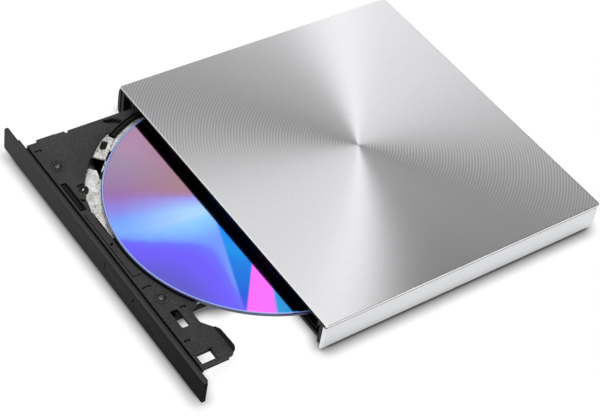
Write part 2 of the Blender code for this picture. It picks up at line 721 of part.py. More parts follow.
def make_chassis():
    """Sheet that carries motor and sled; its front left edge shows beside the disc."""
    window = rounded(rectangle((18.5, -8.5), (60.8, 8.5)), 1.5)
    slot = rounded(rectangle((62.2, -12.9), (64.9, -7.3)), 1.2)
    corners = [(-58.8, -59.9), (5.0, -59.9), (7.0, -52.6), (35.1, -52.6), (35.1, 32.6), (-57.6, 32.6)]
    outline = rounded(corners, 0.8)
    holes = [circle(SPINDLE, 15.5, 32), [on_tray(u, v) for u, v in slot]]
    holes += [circle(at, 2.0, 12) for at in GROMMETS] + [circle(TRAY_SCREWS["left"], 1.1, 12)]
    holes += [[on_tray(u, v) for u, v in window]]
    chassis = plate("chassis_plate", outline, 6.0, 6.5, ZINC, TRAY, holes)
    cut_box(chassis, (60.2, -2.4, 5), (66.6, 4.0, 8), SLED)


def make_grommets():
    for number, (x, y) in enumerate(GROMMETS, 1):
        place = add_empty(f"grommet_place_{number}", (x, y, 0), TRAY)
        bush = [(0.8, 7.2), (2.3, 7.2), (2.3, 6.8), (1.6, 6.8), (1.6, 5.7), (2.3, 5.7), (2.3, 4.9), (0.8, 4.9)]
        turned(f"grommet_{number}", bush, RUBBER, place, 12)


def make_spindle():
    motor = [(0, 5.6), (11, 5.6), (13, 5.0), (13, 3.8), (0, 3.8)]
    turned("spindle_motor", motor, CHIP_BLACK, AXIS)
    hub = [
        (0, 9.5), (4.5, 9.5), (6.7, 9.0), (7.2, 8.2), (7.2, 7.05), (9.6, 7.05), (9.6, 6.5),
        (13.2, 6.5), (13.2, 7.05), (14.0, 7.05), (14.0, 6.0), (0, 6.0),
    ]
    turntable = turned("spindle_hub", hub, BLACK, AXIS)
    ring = [(12.9, 7.1), (12.9, 6.8), (9.9, 6.8), (9.9, 7.1)]
    turned("turntable_ring", ring, RUBBER, AXIS)
    for number in range(3):
        angle = math.tau * number / 3
        at = Vector((6.5 * math.cos(angle), 6.5 * math.sin(angle), 8.3))
        socket = sphere("ball_socket", at, 1.15, None, AXIS)
        combine(turntable, socket, "DIFFERENCE")
        sphere(f"clamp_ball_{number + 1}", at, 0.85, STEEL, AXIS)


def sphere(name, at, radius, material, parent):
    bm = bmesh.new()
    bmesh.ops.create_uvsphere(bm, u_segments=12, v_segments=8, radius=radius * MM)
    bmesh.ops.translate(bm, vec=Vector(at) * MM, verts=bm.verts)
    obj = add_object(name, mesh_from(bm, name), material, parent)
    smooth(obj, 60)
    return obj


def make_disc():
    edge = 0.12
    profile = [
        (DISC_R - edge, DISC_TOP), (DISC_R, DISC_TOP - edge), (DISC_R, DISC_LOW + edge),
        (DISC_R - edge, DISC_LOW), (DISC_HOLE_R, DISC_LOW), (DISC_HOLE_R, DISC_TOP),
    ]
    disc = turned("disc", profile, DISC_DYE, AXIS, 96)
    smooth(disc)


def make_pickup():
    body = box("pickup_body", (-6.5, -14, 3.8), (6.5, 14, 5.7), BLACK, PICKUP)
    join_box(body, (-4, -7.5, 5.5), (4, 7.5, 6.5), PICKUP)
    join_box(body, (-2, -15.9, 4.2), (2, -13.5, 5.3), PICKUP)
    for v in (-ROD_V, ROD_V):
        cut_cylinder(body, (-9, v, ROD_Z), (9, v, ROD_Z), 0.7, PICKUP, 12)
    cut_cylinder(body, (0, 0, 5.9), (0, 0, 8), 2.4, PICKUP, 20)
    lens = [(0, 7.0), (1.0, 6.9), (1.7, 6.6), (2.1, 6.5), (2.1, 6.2), (0, 6.2)]
    turned("pickup_lens", lens, LENS_BLUE, PICKUP, 20)
    for number, v in enumerate((-ROD_V, ROD_V), 1):
        cylinder(f"guide_rod_{number}", (14, v, ROD_Z), (64, v, ROD_Z), 0.5, STEEL, SLED, 12)
    screw = add_empty("lead_screw_axis", (16, SCREW_V, ROD_Z), SLED)
    cylinder("lead_screw", (0, 0, 0), (47, 0, 0), 0.8, STEEL, screw, 12)
    box("sled_motor", (4.5, -20.0, 3.8), (15.6, -14.2, 5.6), CHIP_BLACK, SLED)


make_top_plate()
make_housing_shell()
make_feet_and_screws()
make_inner_frame()
make_socket()
make_bridge_board()
make_case()
make_rails()
make_main_board()
make_tray()
make_tray_cover()
make_tray_screws()
make_bezel()
make_eject_button()
make_latch()
make_ejector()
make_chassis()
make_grommets()
make_spindle()
make_disc()
make_pickup()
bpy.context.view_layer.update()
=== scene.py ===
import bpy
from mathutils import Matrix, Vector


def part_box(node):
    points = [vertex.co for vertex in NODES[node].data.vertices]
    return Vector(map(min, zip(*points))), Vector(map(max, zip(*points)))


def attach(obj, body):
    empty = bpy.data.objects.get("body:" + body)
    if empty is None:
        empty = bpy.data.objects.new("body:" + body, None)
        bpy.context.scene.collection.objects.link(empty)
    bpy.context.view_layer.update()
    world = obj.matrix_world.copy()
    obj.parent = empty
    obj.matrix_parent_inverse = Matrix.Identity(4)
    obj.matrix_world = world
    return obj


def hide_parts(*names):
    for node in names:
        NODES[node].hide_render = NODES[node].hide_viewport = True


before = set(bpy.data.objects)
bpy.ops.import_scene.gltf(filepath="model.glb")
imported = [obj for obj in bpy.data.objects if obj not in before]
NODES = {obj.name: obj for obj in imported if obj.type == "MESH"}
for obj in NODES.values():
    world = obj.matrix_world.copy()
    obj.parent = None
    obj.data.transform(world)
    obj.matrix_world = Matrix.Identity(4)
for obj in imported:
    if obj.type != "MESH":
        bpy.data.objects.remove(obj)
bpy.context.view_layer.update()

import math

import bmesh
import bpy
from mathutils import Matrix, Vector

MM = 0.001

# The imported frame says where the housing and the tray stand. Shapes below are drawn in millimetres
# as in the shut drive, and each object is then placed where its body stands at rest.
PLATE_BACK = 67.45
FACE_Y = -67.75
HOUSE_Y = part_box("top_plate")[1].y / MM - PLATE_BACK
TRAY_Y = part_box("front_bezel")[0].y / MM - FACE_Y
HOUSE = (0.0, HOUSE_Y, 0.0)
TRAY = (0.0, TRAY_Y, 0.0)
SPINDLE = (1.5, 2.25)
AXIS = (SPINDLE[0], SPINDLE[1] + TRAY_Y, 0.0)
SLED_TURN = math.radians(225)
DECK_LOW, DECK_TOP = 6.9, 7.8


# ---------------------------------------------------------------- material nodes

class Nodes:
    """A node tree, with short calls that add one node and return its output."""

    def __init__(self, tree):
        self.tree = tree

    def feed(self, socket, value):
        """Gives a socket its value, or a link when the value is another node's output."""
        if isinstance(value, bpy.types.NodeSocket):
            self.tree.links.new(value, socket)
        else:
            socket.default_value = value

    def node(self, kind, out, settings=None, **inputs):
        """Inputs called i0, i1 and so on go by their place in the node, any others by their name."""
        node = self.tree.nodes.new("ShaderNode" + kind)
        for key, value in (settings or {}).items():
            setattr(node, key, value)
        for key, value in inputs.items():
            which = int(key[1:]) if key[1:].isdigit() else key.replace("_", " ")
            self.feed(node.inputs[which], value)
        return node.outputs[out]

    def axes(self, vector):
        """The x, y and z of a vector, as three outputs."""
        split = self.tree.nodes.new("ShaderNodeSeparateXYZ")
        self.tree.links.new(vector, split.inputs[0])
        return split.outputs

    def math(self, operation, first, second=0.0):
        return self.node("Math", 0, {"operation": operation}, i0=first, i1=second)

    def place(self):
        return self.node("TexCoord", "Object")

    def noise(self, scale, detail=2.0, rough=0.5, vector=None):
        vector = vector or self.place()
        return self.node("TexNoise", 0, None, Vector=vector, Scale=scale, Detail=detail, Roughness=rough)

    def ring_noise(self, radius, scale, detail, rough=0.5):
        """Noise that changes with the radius alone, so it shows as fine circles."""
        return self.node(
            "TexNoise", 0, {"noise_dimensions": "1D"}, W=self.math("MULTIPLY", radius, scale),
            Scale=1.0, Detail=detail, Roughness=rough,
        )

    def remap(self, value, low, high, to_low, to_high):
        """Values from low to high become to_low to to_high, held level outside them."""
        return self.node(
            "MapRange", 0, {"clamp": True}, Value=value, i1=low, i2=high, i3=to_low, i4=to_high
        )

    def ramp(self, value, stops, mode="LINEAR"):
        """stops: (position, colour) with colours as sRGB hex strings."""
        node = self.tree.nodes.new("ShaderNodeValToRGB")
        node.color_ramp.interpolation = mode
        points = node.color_ramp.elements
        while len(points) < len(stops):
            points.new(0.5)
        for point, (position, _) in zip(points, stops):
            point.position = position
        for point, (_, colour) in zip(points, stops):
            point.color = (*hexed(colour), 1.0)
        self.tree.links.new(value, node.inputs[0])
        return node.outputs[0]

    def mix(self, factor, first, second, blend="MIX"):
        node = self.tree.nodes.new("ShaderNodeMix")
        node.data_type = "RGBA"
        node.blend_type = blend
        for place, value in ((0, factor), (6, first), (7, second)):
            self.feed(node.inputs[place], value)
        return node.outputs[2]

    def bump(self, height, strength, distance, below=None):
        inputs = {"Strength": strength, "Distance": distance, "Height": height}
        if below:
            inputs["Normal"] = below
        return self.node("Bump", 0, None, **inputs)


class Graph(Nodes):
    """A material's nodes, which end in one Principled shader."""

    def __init__(self, name, roughness=0.5, metallic=0.0, **sockets):
        self.material = bpy.data.materials.new(name)
        self.material.use_nodes = True
        super().__init__(self.material.node_tree)
        self.shader = self.tree.nodes["Principled BSDF"]
        self.shader.inputs["Roughness"].default_value = roughness
        self.shader.inputs["Metallic"].default_value = metallic
        for key, value in sockets.items():
            self.shader.inputs[key.replace("_", " ")].default_value = value

    def set(self, socket, value):
        self.tree.links.new(value, self.shader.inputs[socket])


def hexed(text):
    """Linear colour of an sRGB hex string."""
    values = [int(text[i:i + 2], 16) / 255 for i in (0, 2, 4)]
    return tuple(v / 12.92 if v < 0.04045 else ((v + 0.055) / 1.055) ** 2.4 for v in values)


def moulded(name, dark, light, roughness, grain, depth, **sockets):
    """Moulded plastic or rubber: a fine grain in height and a faint mottle in colour."""
    g = Graph(name, roughness, 0.0, **sockets)
    fine = g.noise(grain, 3.0, 0.6)
    broad = g.noise(90.0, 2.0)
    g.set("Base Color", g.ramp(g.mix(0.25, fine, broad), [(0.38, dark), (0.62, light)]))
    g.set("Roughness", g.remap(broad, 0.3, 0.7, roughness - 0.05, roughness + 0.07))
    g.set("Normal", g.bump(fine, 0.6, depth))
    return g.material


# Painted light and shade on the bezel: where it is painted palest and where darkest, in metres.
BEZEL_PAINTED_LIGHT_X, BEZEL_PAINTED_SHADE_X = -0.075, 0.06
# Grey painted on the bezel's upward faces, as painted light from above.
BEZEL_TOP_PAINTED_LIGHT = (0.06, 0.06, 0.062, 1.0)


def make_bezel_painted_light():
    """Satin black plastic with painted light: a little paler towards its left end and along its upper
    edge.
    """
    g = Graph("bezel_black", 0.5, 0.0, Specular_IOR_Level=0.03)
    fine = g.noise(2600.0, 3.0, 0.6)
    x = g.axes(g.place())[0]
    # Painted light: the colour is paler towards the left end.
    pale = g.remap(x, BEZEL_PAINTED_LIGHT_X, BEZEL_PAINTED_SHADE_X, 1.0, 0.0)
    tone = g.mix(0.3, pale, fine)
    colour = g.ramp(tone, [(0.1, "0b0b0c"), (0.9, "363637")])
    # Painted light: faces that look upward take the painted grey.
    upward = g.axes(g.node("NewGeometry", "Normal"))[2]
    top_painted_light = g.remap(upward, 0.6, 0.95, 0.0, 1.0)
    g.set("Base Color", g.mix(top_painted_light, colour, BEZEL_TOP_PAINTED_LIGHT))
    g.set("Roughness", g.remap(fine, 0.3, 0.7, 0.45, 0.57))
    g.set("Normal", g.bump(fine, 0.6, 0.00003))
    return g.material


def sheet_metal(name, dark, light, roughness, spangle, depth):
    """Zinc plated sheet: crystals of slightly different grey, with fine rolling lines."""
    g = Graph(name, roughness, 1.0)
    cells = g.node("TexVoronoi", "Color", None, Vector=g.place(), Scale=spangle)
    grey = g.node("SeparateColor", 0, None, Color=cells)
    mottle = g.mix(0.45, grey, g.noise(spangle * 2.2, 4.0, 0.65))
    g.set("Base Color", g.ramp(mottle, [(0.2, dark), (0.8, light)]))
    g.set("Roughness", g.remap(mottle, 0.2, 0.8, roughness - 0.08, roughness + 0.12))
    g.set("Normal", g.bump(g.noise(spangle * 1.3, 5.0, 0.7), 0.5, depth))
    return g.material


def turned_steel(name, dark, light, roughness):
    """Steel with a very fine grain, as screws and rods have."""
    g = Graph(name, roughness, 1.0)
    fine = g.noise(2600.0, 3.0, 0.7)
    g.set("Base Color", g.ramp(fine, [(0.25, dark), (0.75, light)]))
    g.set("Roughness", g.remap(fine, 0.3, 0.7, roughness - 0.06, roughness + 0.1))
    g.set("Normal", g.bump(fine, 0.2, 0.00002))
    return g.material


def ring_polar(g, centre):
    """Radius in millimetres and angle in turns about a centre given in millimetres."""
    spot = g.node(
        "VectorMath", 0, {"operation": "SUBTRACT"}, i0=g.place(),
        i1=(centre[0] * MM, centre[1] * MM, 0.0),
    )
    x, y, _ = g.axes(spot)
    square = g.math("ADD", g.math("MULTIPLY", x, x), g.math("MULTIPLY", y, y))
    radius = g.math("MULTIPLY", g.math("SQRT", square), 1 / MM)
    angle = g.math("ARCTAN2", y, x)
    return radius, angle


# The ring finish: its middle and spacing in millimetres, and in radians the angle of the two fans where
# its rings are painted stronger, as painted sheen.
RING_CENTRE = (0.0, 0.72)
RING_SPACING = 1.18
SHEEN_FAN_ANGLE = 0.87


def make_ring_silver():
    """Spun aluminium: fine circular grooves, with coarser rings painted stronger in two opposite fans,
    as painted sheen.
    """
    g = Graph("spun_silver", 0.45, 1.0, Anisotropic=0.95, Anisotropic_Rotation=0.25)
    radius, angle = ring_polar(g, RING_CENTRE)
    ring = g.math("SINE", g.math("MULTIPLY", radius, math.tau / RING_SPACING))
    # Painted sheen: ring contrast in colour and bump is raised in two opposite fans.
    side = g.math("COSINE", g.math("MULTIPLY", g.math("SUBTRACT", angle, SHEEN_FAN_ANGLE), 2.0))
    band = g.remap(side, 0.62, 1.0, 0.12, 1.35)
    rings_in_painted_sheen = g.math("MULTIPLY", ring, band)
    lines = g.ring_noise(radius, 3.2, 3.0, 0.7)
    grain = g.noise(2400.0, 3.0, 0.7)
    shade = g.math("ADD", g.math("MULTIPLY", rings_in_painted_sheen, 0.45), 0.5)
    shade = g.math("ADD", shade, g.math("MULTIPLY", g.math("SUBTRACT", lines, 0.5), 0.5))
    shade = g.math("ADD", shade, g.math("MULTIPLY", g.math("SUBTRACT", grain, 0.5), 0.8))
    g.set("Base Color", g.ramp(shade, [(0.0, "d2d2d4"), (1.0, "f2f2f4")]))
    g.set("Roughness", g.remap(lines, 0.3, 0.7, 0.4, 0.48))
    grooves = g.bump(lines, 0.25, 0.00003)
    g.set("Normal", g.bump(rings_in_painted_sheen, 0.12, 0.00004, grooves))
    g.set("Tangent", g.node("Tangent", 0, {"direction_type": "RADIAL", "axis": "Z"}))
    return g.material


def make_edge_silver():
    """Polished metal for the plate's rounded rim."""
    g = Graph("edge_silver", 0.24, 1.0)
    fine = g.noise(1500.0, 3.0, 0.6)
    g.set("Base Color", g.ramp(fine, [(0.2, "dededf"), (0.8, "f6f6f7")]))
    g.set("Roughness", g.remap(fine, 0.3, 0.7, 0.2, 0.3))
    return g.material


# Parts of the shell that show black, as seen past the case: its front end on both sides of the
# opening, its floor inside, and the small lip at the left of the front. All in metres.
OPENING_LEFT_X = (-0.03, -0.02)
OPENING_RIGHT_X = (0.066, 0.067)
FLOOR_INSIDE_Z = (0.006, 0.007)
LIP_X = (-0.066, -0.064)
LIP_Y = (-0.0408, -0.0405)
SHELL_BLACK = (0.004, 0.004, 0.004, 1.0)


def make_shell_silver():
    """Silver paint with fine flakes under a thin lacquer, masked black round the front opening."""
    g = Graph("shell_paint", 0.42, 0.55, Coat_Weight=0.25, Coat_Roughness=0.2)
    flakes = g.node("TexVoronoi", "Color", None, Vector=g.place(), Scale=5200.0)
    flake = g.node("SeparateColor", 0, None, Color=flakes)
    broad = g.noise(60.0, 3.0)
    _, normal_y, normal_z = g.axes(g.node("NewGeometry", "Normal"))
    x, _, z = g.axes(g.place())
    world_x, world_y, _ = g.axes(g.node("NewGeometry", "Position"))

    left = g.remap(x, *OPENING_LEFT_X, 1.0, 0.0)
    right = g.remap(x, *OPENING_RIGHT_X, 1.0, 0.0)
    front = g.remap(normal_y, -0.9, -0.7, 1.0, 0.0)
    end = g.math("MULTIPLY", front, g.math("MAXIMUM", left, right))
    upward = g.remap(normal_z, 0.8, 0.95, 0.0, 1.0)
    floor = g.math("MULTIPLY", upward, g.remap(z, *FLOOR_INSIDE_Z, 1.0, 0.0))
    lip = g.math("MULTIPLY", g.remap(world_x, *LIP_X, 1.0, 0.0), g.remap(world_y, *LIP_Y, 1.0, 0.0))
    masked = g.math("MAXIMUM", g.math("MAXIMUM", end, floor), lip)

    silver = g.ramp(g.mix(0.3, flake, broad), [(0.1, "d9dadc"), (0.9, "edeef0")])
    g.set("Base Color", g.mix(masked, silver, SHELL_BLACK))
    g.set("Metallic", g.remap(masked, 0.0, 1.0, 0.55, 1.0))
    g.set("Coat Weight", g.remap(masked, 0.0, 1.0, 0.25, 0.0))
    g.set("Roughness", g.remap(flake, 0.0, 1.0, 0.36, 0.48))
    g.set("Normal", g.bump(g.noise(2400.0, 2.0), 0.15, 0.00002))
    return g.material


def make_mottled():
    """Bright plated sheet with a rough, mottled surface."""
    g = Graph("mottled_plate", 0.4, 0.85)
    fine = g.noise(900.0, 6.0, 0.75)
    coarse = g.noise(260.0, 4.0, 0.6)
    tone = g.mix(0.45, fine, coarse)
    g.set("Base Color", g.ramp(tone, [(0.36, "4a4846"), (0.46, "d0cecb"), (0.62, "fbfaf8")]))
    g.set("Roughness", g.remap(fine, 0.3, 0.7, 0.28, 0.55))
    g.set("Normal", g.bump(tone, 0.9, 0.0003))
    return g.material


# Painted diffraction colours of the disc by angle, in degrees from the -X side round the front to the +X
# side, then those of its violet and azure bands by a fraction of the way outwards.
RIM_COLOURS = [
    (0, "8a88b0"), (12, "9e8a98"), (26, "b187a7"), (36, "ad8bac"), (46, "9e89aa"), (58, "9a77a5"),
    (63, "9a70b0"), (66, "9576c5"), (72, "8c88e8"), (77, "77a4fe"), (84, "7fb0ff"), (92, "7ba6fe"),
]
HUB_COLOURS = [
    (0, "8a88b0"), (12, "9a8690"), (28, "a97b8e"), (54, "a67f89"), (60, "aa7c96"), (63.5, "a486c4"),
    (66, "a196eb"), (72, "9fb8fb"), (78, "a9d3ff"), (85, "acd5ff"), (91, "8dcdff"), (102, "7eb9fe"),
    (114, "6e96ff"),
]
VIOLET_COLOURS = [
    (0.0, "7ab8fe"), (0.3, "7094ff"), (0.42, "6a6cff"), (0.56, "6d5cff"), (0.72, "6a5bf5"),
    (0.88, "6259e0"), (1.0, "5e59cd"),
]
AZURE_COLOURS = [
    (0.0, "30a4fd"), (0.15, "0589fa"), (0.32, "0391ea"), (0.45, "007ce4"), (0.65, "0070e0"),
    (0.8, "105fdd"), (0.9, "3f56ec"), (1.0, "5a5cef"),
]
TEAL_COLOURS = [
    (139, "ff6dff"), (151.5, "f86fff"), (152.6, "2a9ae0"), (158, "0e8ecc"), (166, "2c6aa8"),
    (180, "8a88b0"),
]
TEAL_EDGE = (141.2, 142.0)
HUB_TO_RIM = (30.0, 54.0)
# The violet band starts on a parabola of radius against angle, and the azure one on a slanting line.
VIOLET_ANGLE, VIOLET_NEAREST, VIOLET_CURVE = 114.0, 36.0, 0.03
AZURE_SLOPE, AZURE_OFFSET = 0.364, 20.7


def make_disc_painted_rainbow():
    """Recording side of a disc: bands of painted diffraction sheen that fan out from the hub, the same
    on both halves.
    """
    g = Graph("disc_painted_rainbow", 0.1, 1.0, Coat_Weight=0.2, Coat_Roughness=0.03)
    across, along, _ = g.axes(g.place())
    half = g.remap(along, -1e-7, 1e-7, 1.0, -1.0)
    x = g.math("MULTIPLY", g.math("MULTIPLY", across, half), 1 / MM)
    y = g.math("MULTIPLY", g.math("ABSOLUTE", along), -1 / MM)
    radius = g.math("SQRT", g.math("ADD", g.math("MULTIPLY", x, x), g.math("MULTIPLY", y, y)))
    waver = g.math("MULTIPLY", g.math("SUBTRACT", g.noise(260.0, 4.0, 0.7), 0.5), 3.0)
    degrees = g.math("ADD", g.math("MULTIPLY", g.math("ARCTAN2", y, x), 180 / math.pi), 180.0)
    loose = g.math("ADD", degrees, waver)

    def by_angle(angle, stops):
        return g.ramp(g.math("DIVIDE", angle, 180.0), [(at / 180, colour) for at, colour in stops])

    outward = g.remap(radius, *HUB_TO_RIM, 0.0, 1.0)
    colour = g.mix(outward, by_angle(loose, HUB_COLOURS), by_angle(loose, RIM_COLOURS))

    bend = g.math("SUBTRACT", loose, VIOLET_ANGLE)
    curve = g.math("MULTIPLY", g.math("MULTIPLY", bend, bend), VIOLET_CURVE)
    past = g.math("SUBTRACT", radius, g.math("ADD", curve, VIOLET_NEAREST))
    violet = g.ramp(g.remap(past, -14.0, 21.0, 0.0, 1.0), VIOLET_COLOURS)
    colour = g.mix(g.remap(past, -12.0, 0.0, 0.0, 1.0), colour, violet)

    line = g.math("ADD", g.math("ADD", y, g.math("MULTIPLY", x, AZURE_SLOPE)), AZURE_OFFSET)
    azure = g.ramp(g.remap(radius, 18.0, 60.0, 0.0, 1.0), AZURE_COLOURS)
    colour = g.mix(g.remap(line, -0.5, 0.5, 0.0, 1.0), colour, azure)
    colour = g.mix(g.remap(degrees, *TEAL_EDGE, 0.0, 1.0), colour, by_angle(degrees, TEAL_COLOURS))

    tracks = g.ring_noise(radius, 2.0, 3.0, 0.6)
    pale = g.remap(tracks, 0.3, 0.7, 0.0, 0.03)
    g.set("Base Color", g.mix(pale, colour, (0.75, 0.78, 0.95, 1.0)))
    g.set("Roughness", g.remap(tracks, 0.3, 0.7, 0.07, 0.1))
    g.set("Normal", g.bump(tracks, 0.02, 0.00001))
    return g.material


def make_disc_clear(name, dark, light, roughness):
    """Clear plastic of the disc beside its recording area, as a tinted gloss with fine circles."""
    g = Graph(name, roughness, 0.35, Coat_Weight=1.0, Coat_Roughness=0.03)
    radius, _ = ring_polar(g, (0.0, 0.0))
    rings = g.ring_noise(radius, 5.0, 2.0)
    g.set("Base Color", g.ramp(rings, [(0.3, dark), (0.7, light)]))
    g.set("Roughness", g.remap(rings, 0.3, 0.7, roughness - 0.04, roughness + 0.08))
    return g.material


def make_board():
    """Green solder mask over copper tracks, with small plated pads."""
    g = Graph("circuit_board", 0.32, 0.0, Coat_Weight=0.4, Coat_Roughness=0.15)
    cells = g.node(
        "TexVoronoi", "Distance", {"feature": "DISTANCE_TO_EDGE", "distance": "EUCLIDEAN"},
        Vector=g.place(), Scale=480.0,
    )
    pads = g.node("TexVoronoi", "Distance", None, Vector=g.place(), Scale=620.0)
    track = g.remap(cells, 0.02, 0.06, 1.0, 0.0)
    green = g.mix(track, (0.01, 0.075, 0.035, 1), (0.03, 0.17, 0.08, 1))
    pad = g.remap(pads, 0.16, 0.2, 1.0, 0.0)
    g.set("Base Color", g.mix(pad, green, (0.72, 0.68, 0.5, 1)))
    g.set("Normal", g.bump(g.math("ADD", track, pad), 0.4, 0.00003))
    return g.material


def make_flex():
    """Amber film with printed conductors along it."""
    g = Graph("flex_film", 0.3, 0.0, Coat_Weight=0.5, Coat_Roughness=0.1)
    lines = g.node(
        "TexWave", "Fac", {"wave_type": "BANDS", "bands_direction": "X"}, Vector=g.place(), Scale=300.0,
        Distortion=0.0,
    )
    g.set("Base Color", g.ramp(lines, [(0.35, "5a2f0c"), (0.6, "b8701f")]))
    g.set("Normal", g.bump(lines, 0.3, 0.00002))
    return g.material


def make_lens():
    """Coated glass with a blue cast."""
    g = Graph("lens_glass", 0.04, 0.0, Coat_Weight=1.0, Coat_Roughness=0.02)
    tone = g.noise(700.0, 2.0)
    g.set("Base Color", g.ramp(tone, [(0.3, "1c2c66"), (0.7, "33509c")]))
    return g.material


SPUN = make_ring_silver()
EDGE = make_edge_silver()
SHELL = make_shell_silver()
GRAIN_BLACK = moulded("grained_black", "101011", "38383a", 0.55, 1700.0, 0.0002)
# Painted shade: a near-black copy of the tray's moulded plastic, for its faces under the deck.
TRAY_BLACK_PAINTED_SHADE = moulded("tray_black_painted_shade", "050505", "0c0c0d", 0.5, 2200.0, 0.00004, Specular_IOR_Level=0.15)
# The bezel's black with its painted light, used for the eject button too.
BEZEL = make_bezel_painted_light()
FRAME_BLACK = moulded("frame_black", "070708", "0f0f10", 0.5, 1800.0, 0.00005, Specular_IOR_Level=0.15)
RUBBER = moulded("rubber", "121213", "1c1c1d", 0.75, 1500.0, 0.00005)
CHIP = moulded("chip_resin", "141416", "202023", 0.45, 3800.0, 0.00002)
ZINC = sheet_metal("zinc_sheet", "8f9194", "c4c6c8", 0.38, 420.0, 0.00003)
# Painted shade: zinc sheet darkened to near black and to dark grey for the parts deep inside the
# housing.
ZINC_PAINTED_DEEP_SHADE = sheet_metal("zinc_painted_deep_shade", "0b0b0c", "1b1c1d", 0.55, 420.0, 0.00003)
ZINC_PAINTED_SHADE = sheet_metal("zinc_painted_shade", "3e4043", "5c5e61", 0.45, 420.0, 0.00003)
MOTTLED = make_mottled()
STEEL = turned_steel("bright_steel", "9a9b9d", "e2e3e5", 0.22)
SCREW_STEEL = turned_steel("screw_steel", "4c4d4f", "7e8082", 0.34)
BOARD = make_board()
FLEX = make_flex()
LENS = make_lens()
DISC_PAINTED_RAINBOW = make_disc_painted_rainbow()
# Painted highlight: light blue on the clear rim. Painted shade: dark navy on the disc's outer wall.
CLEAR_RIM_PAINTED_HIGHLIGHT = make_disc_clear("disc_rim_painted_highlight", "6f8fe8", "a9c8ff", 0.12)
DISC_WALL_PAINTED_SHADE = make_disc_clear("disc_wall_painted_shade", "15173a", "32346c", 0.15)
CLEAR_HUB = make_disc_clear("disc_hub", "a8acb8", "d4d8e2", 0.2)
MIRROR = make_disc_clear("disc_mirror", "b0b2bc", "e4e6ee", 0.1)


# ---------------------------------------------------------------- mesh tools

def to_object(name, mesh, materials, body, place=HOUSE, replaces=(), sharp=32.0):
    """Adds a finished mesh to the scene, rides it on a body and hides the solids it stands for."""
    obj = bpy.data.objects.new(name, mesh)
    obj.location = Vector(place) * MM
    bpy.context.scene.collection.objects.link(obj)
    for material in materials:
        mesh.materials.append(material)
    mesh.shade_smooth()
    mesh.set_sharp_from_angle(angle=math.radians(sharp))
    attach(obj, body)
    if replaces:
        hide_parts(*replaces)
    return obj


def arc(centre, radius, start, end, steps):
    """Points on a circle between two angles in degrees."""
    angles = [math.radians(start + (end - start) * i / steps) for i in range(steps + 1)]
    return [(centre[0] + radius * math.cos(a), centre[1] + radius * math.sin(a)) for a in angles]


def circle(centre, radius, sides=40):
    return arc(centre, radius, 0, 360, sides)[:-1]


def rectangle(low, high):
    return [low, (high[0], low[1]), high, (low[0], high[1])]


def rounded(points, radius, steps=5):
    """A polygon with every corner replaced by an arc of the given radius."""
    result = []
    for i, point in enumerate(points):
        here = Vector(point)
        before = (Vector(points[i - 1]) - here).normalized()
        after = (Vector(points[(i + 1) % len(points)]) - here).normalized()
        half = before.angle(after) / 2
        centre = here + (before + after).normalized() * radius / math.sin(half)
        first = here + before * radius / math.tan(half) - centre
        last = here + after * radius / math.tan(half) - centre
        swing = first.angle_signed(last)
        for step in range(steps + 1):
            turned = Matrix.Rotation(-swing * step / steps, 2) @ first
            result.append(tuple(centre + turned))
    return result


def slab_bmesh(outline, low, high, holes=(), bevel=0.15, segments=2):
    """An outline with holes made thick between two heights, with its edges rounded."""
    curve = bpy.data.curves.new("outline", "CURVE")
    curve.dimensions = "2D"
    curve.fill_mode = "BOTH"
    curve.extrude = ((high - low) / 2 - bevel) * MM
    curve.bevel_depth = bevel * MM
    curve.bevel_resolution = segments - 1
    curve.offset = -bevel * MM
    for loop in (outline, *holes):
        spline = curve.splines.new("POLY")
        spline.points.add(len(loop) - 1)
        for point, (x, y) in zip(spline.points, loop):
            point.co = (x * MM, y * MM, 0, 1)
        spline.use_cyclic_u = True
    flat = bpy.data.objects.new("outline", curve)
    bpy.context.scene.collection.objects.link(flat)
    bpy.context.view_layer.update()
    graph = bpy.context.evaluated_depsgraph_get()
    mesh = bpy.data.meshes.new_from_object(flat.evaluated_get(graph))
    bpy.data.objects.remove(flat, do_unlink=True)
    bpy.data.curves.remove(curve)
    bm = bmesh.new()
    bm.from_mesh(mesh)
    bpy.data.meshes.remove(mesh)
    bmesh.ops.remove_doubles(bm, verts=bm.verts, dist=2e-7)
    bmesh.ops.translate(bm, vec=(0, 0, (low + high) / 2 * MM), verts=bm.verts)
    return bm


def block_bmesh(low, high, bevel=0.12, segments=2):
    """A box between two corners, with its edges rounded."""
    low, high = Vector(low) * MM, Vector(high) * MM
    bm = bmesh.new()
    bmesh.ops.create_cube(bm, size=1.0)
    bmesh.ops.scale(bm, vec=high - low, verts=bm.verts)
    bmesh.ops.translate(bm, vec=(low + high) / 2, verts=bm.verts)
    bmesh.ops.bevel(
        bm, geom=bm.edges[:], offset=bevel * MM, segments=segments, profile=0.5, affect="EDGES"
    )
    return bm


def lathe_bmesh(profile, centre=(0, 0), steps=48):
    """A closed profile of (radius, z) points spun about an upright axis.

    A third number in a point is the material of the faces between it and the next point."""
    bm = bmesh.new()
    rings = []
    for step in range(steps):
        angle = math.tau * step / steps
        out_x, out_y = math.cos(angle), math.sin(angle)
        rings.append([
            bm.verts.new(((centre[0] + r * out_x) * MM, (centre[1] + r * out_y) * MM, z * MM))
            for r, z, *_ in profile
        ])
    for step in range(steps):
        near, far = rings[step], rings[(step + 1) % steps]
        for i, (_, _, *zone) in enumerate(profile):
            j = (i + 1) % len(profile)
            face = bm.faces.new((near[i], far[i], far[j], near[j]))
            face.material_index = zone[0] if zone else 0
    bmesh.ops.remove_doubles(bm, verts=bm.verts, dist=2e-7)
    bmesh.ops.dissolve_degenerate(bm, dist=1e-8, edges=bm.edges)
    return bm


